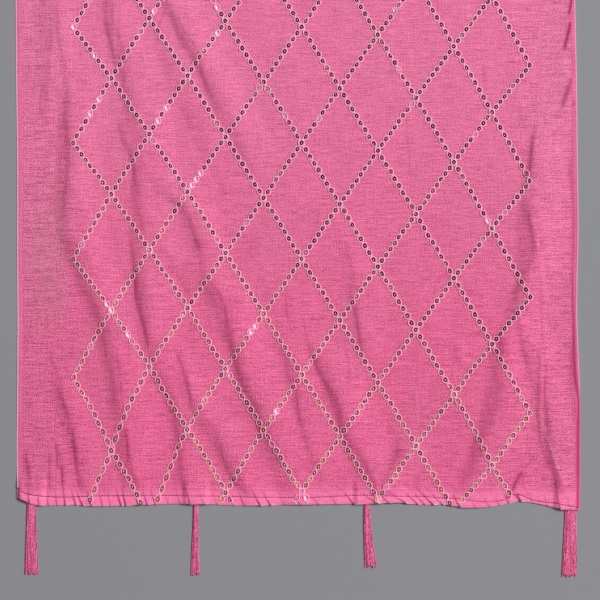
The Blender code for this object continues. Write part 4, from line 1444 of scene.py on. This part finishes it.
class StoleSizes(bpy.types.PropertyGroup):
    column_width: length_of("Column width", "Width of the cloth's mesh columns", 0.0016)
    row_length: length_of("Row length", "Length of the cloth's mesh rows that are seen closest", 0.004)
    far_row_length: length_of("Far row length", "Length of the cloth's other mesh rows", 0.012)
    stitch_length: length_of("Stitch length", "Length of one hem stitch", 0.0026)
    stitch_gap: length_of("Stitch gap", "Cloth between two hem stitches", 0.0002)
    stitch_radius: length_of("Stitch radius", "Radius of the hem's sewing thread", 0.0005)
    sequin_radius: length_of("Sequin radius", "Outer radius of a sequin", 0.00205)
    sequin_hole: length_of("Sequin hole", "Radius of the hole in a sequin", 0.00055)
    sequin_cup: length_of("Sequin cup", "How far a sequin's rim stands over its hole", 0.0003)
    sequins_per_side: bpy.props.IntProperty(
        name="Sequins per side", description="Steps along one side of a diamond", default=9, min=2
    )
    missing_share: bpy.props.FloatProperty(
        name="Missing sequins", description="Share of sequins that fell off", default=0.014, subtype="FACTOR"
    )
    chain_width: length_of("Chain width", "Width between the chain's two threads at a sequin", 0.0053)
    chain_radius: length_of("Chain thread radius", "Radius of the chain's thread", 0.00046)
    tassel_radius: length_of("Tassel thread radius", "Radius of a tassel's thread", 0.00036)
    view_width: length_of("View width", "Width of what the camera sees on the table", 0.6)


class StoleColours(bpy.types.PropertyGroup):
    cloth: colour_of("Cloth", "The cloth's face", "FF79A7")
    cloth_deep: colour_of("Cloth, deep", "The shaded side of the weave's threads", "A42A60")
    # Painted sheen: the cloth painted paler away from its hems.
    cloth_painted_sheen: colour_of("Cloth, pale", "The bloom on the cloth away from its hems", "FFA0C6")
    cloth_sheer: colour_of("Cloth, sheer", "Where the table shows through the cloth", "EE7DA4")
    doubled: colour_of("Doubled cloth", "Turned hems and edges, twice as thick", "FF88B4")
    doubled_deep: colour_of("Doubled cloth, deep", "Streaks in the turned cloth", "E0578F")
    edge_deep: colour_of("Cloth, shaded", "Shade at edges, gathers, tucks and pressed lines", "A8265E")
    edge_glow: colour_of("Edges, lit through", "Light through an edge, or on a raised line", "FFDCE8")
    table_seen: colour_of("Table seen through", "The cloth's open patch, with the table behind it", "C4949A")
    # The thread's colour darkened with painted shade, as towards the hem's ends.
    stitching: colour_of("Stitching", "The hem's sewing thread", "4A0A28")
    # The thread's colour with the painted shade lifted, along the middle of the hem.
    stitching_unshaded: colour_of("Stitching, sunk", "Where the stitches sink into the hem", "9C2A5A")
    chain: colour_of("Chain thread", "The embroidery's pale thread", "FFC6DE")
    chain_deep: colour_of("Chain thread, deep", "Between the plies of the pale thread", "FF98C2")
    # A painted reflection: the dark that the film shows, put into its colour.
    sequin_dark_reflection: colour_of("Sequin, dark", "The darkest sequins", "340214")
    sequin_gold: colour_of("Sequin, gold", "The most golden sequins", "AE6A46")
    # Painted highlight: the pale colour of a flashing sequin.
    sequin_flash: colour_of("Sequin, flash", "A sequin tipped to the lamp", "FFB6D4")
    tassel: colour_of("Tassel thread", "Lit side of the tassels' thread", "FF7EB2")
    tassel_deep: colour_of("Tassel thread, deep", "Between the plies of the tassels' thread", "B01254")
    floor: colour_of("Table", "The table under the stole", "8C8C90")


# ---------------------------------------------------------------- operators

# The camera and the lamp, in metres from the middle of what the camera sees, but
# the lens and its sensor in millimetres.
VIEW_CENTRE = (0.002, -0.7955)
LENS = 150.0
SENSOR = 36.0
KEY_OFFSET = (9.22, 3.72, 8.35)
KEY_SIZE = 4.5
KEY_POWER = 2255.0
KEY_COLOUR = (0.857, 1.0, 0.942)
WORLD_LIGHT = 0.30
WORLD_TINT = (1.0, 0.60, 0.76)  # the room's light, warmed by the cloth that it bounces off
FLOOR_HALF = 9.0
FLOOR_DROP = 0.0002


class StoleOperator:
    """What the operators share."""

    bl_options = {"REGISTER"}

    @staticmethod
    def sizes():
        return bpy.context.scene.stole_sizes

    @staticmethod
    def colours():
        return bpy.context.scene.stole_colours


class STOLE_OT_stage(StoleOperator, bpy.types.Operator):
    """The table, the camera straight above it and soft light from the upper right"""

    bl_idname = "stole.stage"
    bl_label = "Table, camera and light"

    def execute(self, context):
        scene = context.scene
        corners = [(-1, -1), (1, -1), (1, 1), (-1, 1)]
        points = [(a * FLOOR_HALF, b * FLOOR_HALF, -FLOOR_DROP) for a, b in corners]
        solid("table", points, [(0, 1, 2, 3)], table_paint("matt_table_paint", self.colours()))
        centre = Vector((*VIEW_CENTRE, 0.0))
        camera = bpy.data.cameras.new("camera")
        camera.lens = LENS
        camera.sensor_width = SENSOR
        scene.camera = add_object("camera", camera)
        scene.camera.location = centre + Vector((0, 0, self.sizes().view_width * LENS / SENSOR))
        light = bpy.data.lights.new("key", "AREA")
        light.size = KEY_SIZE
        light.energy = KEY_POWER
        light.color = KEY_COLOUR
        lamp = add_object("key", light)
        lamp.location = centre + Vector(KEY_OFFSET)
        lamp.rotation_euler = (centre - lamp.location).to_track_quat("-Z", "Y").to_euler()
        world = bpy.data.worlds.new("studio")
        world.use_nodes = True
        sky = world.node_tree.nodes["Background"]
        wire(world.node_tree, sky, {"Color": (*WORLD_TINT, 1.0), "Strength": WORLD_LIGHT})
        scene.world = world
        scene.view_settings.view_transform = "Standard"
        return {"FINISHED"}


class STOLE_OT_side_edges(StoleOperator, bpy.types.Operator):
    """The narrow edges turned and pressed down each long side"""

    bl_idname = "stole.side_edges"
    bl_label = "Side edges"

    def execute(self, context):
        finish = chanderi_cloth("chanderi_turned_edge", self.colours(), True)
        y = row_places(self.sizes())
        for name, which in (("left", -1), ("right", 1)):
            rings = edge_rings(which, np.array(EDGE_SECTIONS[name]), y)
            piece = swept(f"turned_edge_{name}", rings, finish)
            mark_cloth(piece)
            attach(piece, "root")
            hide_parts(f"side_edge_{name}")
        return {"FINISHED"}


class STOLE_OT_hems(StoleOperator, bpy.types.Operator):
    """The hems turned under across both ends, gathered along their stitches"""

    bl_idname = "stole.hems"
    bl_label = "Hems"

    def execute(self, context):
        finish = chanderi_cloth("chanderi_turned_hem", self.colours(), True)
        for end in ENDS:
            piece = swept(f"turned_hem_{end.name}", hem_rings(end), finish)
            mark_cloth(piece)
            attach(piece, "root")
            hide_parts(f"hem_{end.name}")
        return {"FINISHED"}


class STOLE_OT_hem_stitches(StoleOperator, bpy.types.Operator):
    """The dark sewing thread that shows along each hem"""

    bl_idname = "stole.hem_stitches"
    bl_label = "Hem stitches"

    def execute(self, context):
        sizes = self.sizes()
        values = {
            "Stitch length": sizes.stitch_length,
            "Gap": sizes.stitch_gap,
            "Thread radius": sizes.stitch_radius,
            "Finish": sewing_thread("polyester_sewing_thread", self.colours()),
        }
        along = np.arange(-WIDTH / 2 + EDGE_BAND, WIDTH / 2 - EDGE_BAND / 2, 1.0)
        for end in ENDS:
            name = f"stitches_{end.name}"
            x, y = at_end(end, along, eased(along, STITCH_LINE))
            line = place(x, y, upper(x, y) + STITCH_RIDE)
            mesh = new_mesh(f"{name}_lines", line, [(i, i + 1) for i in range(len(line) - 1)])
            piece = grown(name, "Stitches along a line", mesh, values)
            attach(piece, "root")
        return {"FINISHED"}


class STOLE_OT_chain(StoleOperator, bpy.types.Operator):
    """The pale two-thread chain that holds the sequins along the lattice"""

    bl_idname = "stole.chain"
    bl_label = "Chain thread"

    def execute(self, context):
        sizes = self.sizes()
        radius = sizes.chain_radius
        finish = embroidery_thread("rayon_embroidery_thread", self.colours())
        for end in ENDS:
            strands = chain_strands(sizes.sequins_per_side, sizes.chain_width / MM, radius / MM, end)
            piece = thread_piece(f"chain_{end.name}", strands, radius, CHAIN_FLAT, CHAIN_SIDES, finish)
            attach(piece, "root")
        return {"FINISHED"}


class STOLE_OT_sequins(StoleOperator, bpy.types.Operator):
    """The sequins along the lattice, with the stitch through each"""

    bl_idname = "stole.sequins"
    bl_label = "Sequins"

    def execute(self, context):
        sizes, colours = self.sizes(), self.colours()
        film = sequin_film("metallised_sequin_film", colours)
        thread = embroidery_thread("rayon_knot_thread", colours)
        places, turns, grown_by, tone = laid_sequins(sizes)
        near = places[:, 1] < 0.0
        for end, here in (("near", near), ("far", ~near)):
            for name, shape, finish, slot, rise in (
                (f"sequins_{end}", sequin_shape(sizes), film, "sequin", 0.0),
                (f"sequin_stitches_{end}", knot_shape(), thread, "chain_thread", KNOT_RISE * MM),
            ):
                model = add_object(f"{name}_shape", shape)
                seeds = new_mesh(f"{name}_points", places[here] + (0, 0, rise))
                store(seeds, "turn", "QUATERNION", turns[here])
                store(seeds, "size", "FLOAT_VECTOR", grown_by[here])
                store(seeds, "tone", "FLOAT", tone[here])
                piece = grown(name, "Shape on each point", seeds, {"Shape": model, "Finish": finish})
                bpy.data.objects.remove(model)
                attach(piece, "root")
        return {"FINISHED"}


class STOLE_OT_tassels(StoleOperator, bpy.types.Operator):
    """Four thread tassels from under each hem"""

    bl_idname = "stole.tassels"
    bl_label = "Tassels"

    def execute(self, context):
        radius, colours = self.sizes().tassel_radius, self.colours()
        look = {"twist": 1.5, "roughness": 0.38}
        finish = twisted_thread("viscose_tassel_thread", colours.tassel, colours.tassel_deep, **look)
        for first_seed, end in zip(TASSEL_SEEDS, ENDS):
            for number, tassel in enumerate(TASSELS, 1):
                name = f"tassel_{end.name}_{number}"
                lines = tassel_lines(tassel, end, first_seed + number, radius / MM)
                piece = thread_piece(f"thread_{name}", lines, radius, 1.0, TASSEL_SIDES, finish)
                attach(piece, "root")
                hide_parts(name)
        return {"FINISHED"}


class STOLE_OT_cloth_panel(StoleOperator, bpy.types.Operator):
    """The woven panel between the turned edges and hems, with its folds"""

    bl_idname = "stole.cloth_panel"
    bl_label = "Cloth panel"

    def execute(self, context):
        sizes = self.sizes()
        finish = chanderi_cloth("chanderi_panel", self.colours(), False)
        rows = row_places(sizes)[:, None]
        columns = round((WIDTH - 2 * EDGE_BAND) / (sizes.column_width / MM)) + 1
        left, right = side(rows, -1) + EDGE_BAND, side(rows, 1) - EDGE_BAND
        x = left + (right - left) * np.linspace(0, 1, columns)
        to_near = falling(rows, HEM_BAND + FINE_BAND, FINE_BAND)
        to_far = falling(LENGTH - rows, HEM_BAND + FINE_BAND, FINE_BAND)
        y = rows + to_near * (hem_inner(x) - HEM_BAND) - to_far * (hem_inner(-x) - HEM_BAND)
        top = place(x, y, upper(x, y))

        def underside(index):
            return place(x[index], y[index], lift(x[index], y[index]))

        piece = shell("cloth", top, underside, UNDER_STRIDE, finish)
        mark_cloth(piece)
        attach(piece, "root")
        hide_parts("cloth_panel")
        return {"FINISHED"}


OPERATORS = (
    STOLE_OT_stage,
    STOLE_OT_side_edges,
    STOLE_OT_hems,
    STOLE_OT_hem_stitches,
    STOLE_OT_chain,
    STOLE_OT_sequins,
    STOLE_OT_tassels,
    STOLE_OT_cloth_panel,
)


class STOLE_PT_panel(bpy.types.Panel):
    """Everything the stole is made of"""

    bl_label = "Dupatta Stole"
    bl_idname = "STOLE_PT_panel"
    bl_space_type = "VIEW_3D"
    bl_region_type = "UI"
    bl_category = "Stole"

    def draw(self, context):
        column = self.layout.column()
        for operator in OPERATORS:
            column.operator(operator.bl_idname)
        for group in (context.scene.stole_sizes, context.scene.stole_colours):
            box = self.layout.box()
            for name in group.bl_rna.properties.keys():
                if name not in ("rna_type", "name"):
                    box.prop(group, name)


CLASSES = (StoleSizes, StoleColours, *OPERATORS, STOLE_PT_panel)


def register():
    for item in CLASSES:
        bpy.utils.register_class(item)
    bpy.types.Scene.stole_sizes = bpy.props.PointerProperty(type=StoleSizes)
    bpy.types.Scene.stole_colours = bpy.props.PointerProperty(type=StoleColours)


def unregister():
    del bpy.types.Scene.stole_colours
    del bpy.types.Scene.stole_sizes
    for item in reversed(CLASSES):
        bpy.utils.unregister_class(item)


def main():
    register()
    for operator in OPERATORS:
        group, name = operator.bl_idname.split(".")
        getattr(getattr(bpy.ops, group), name)()
    bpy.context.view_layer.update()


if __name__ == "__main__":
    main()
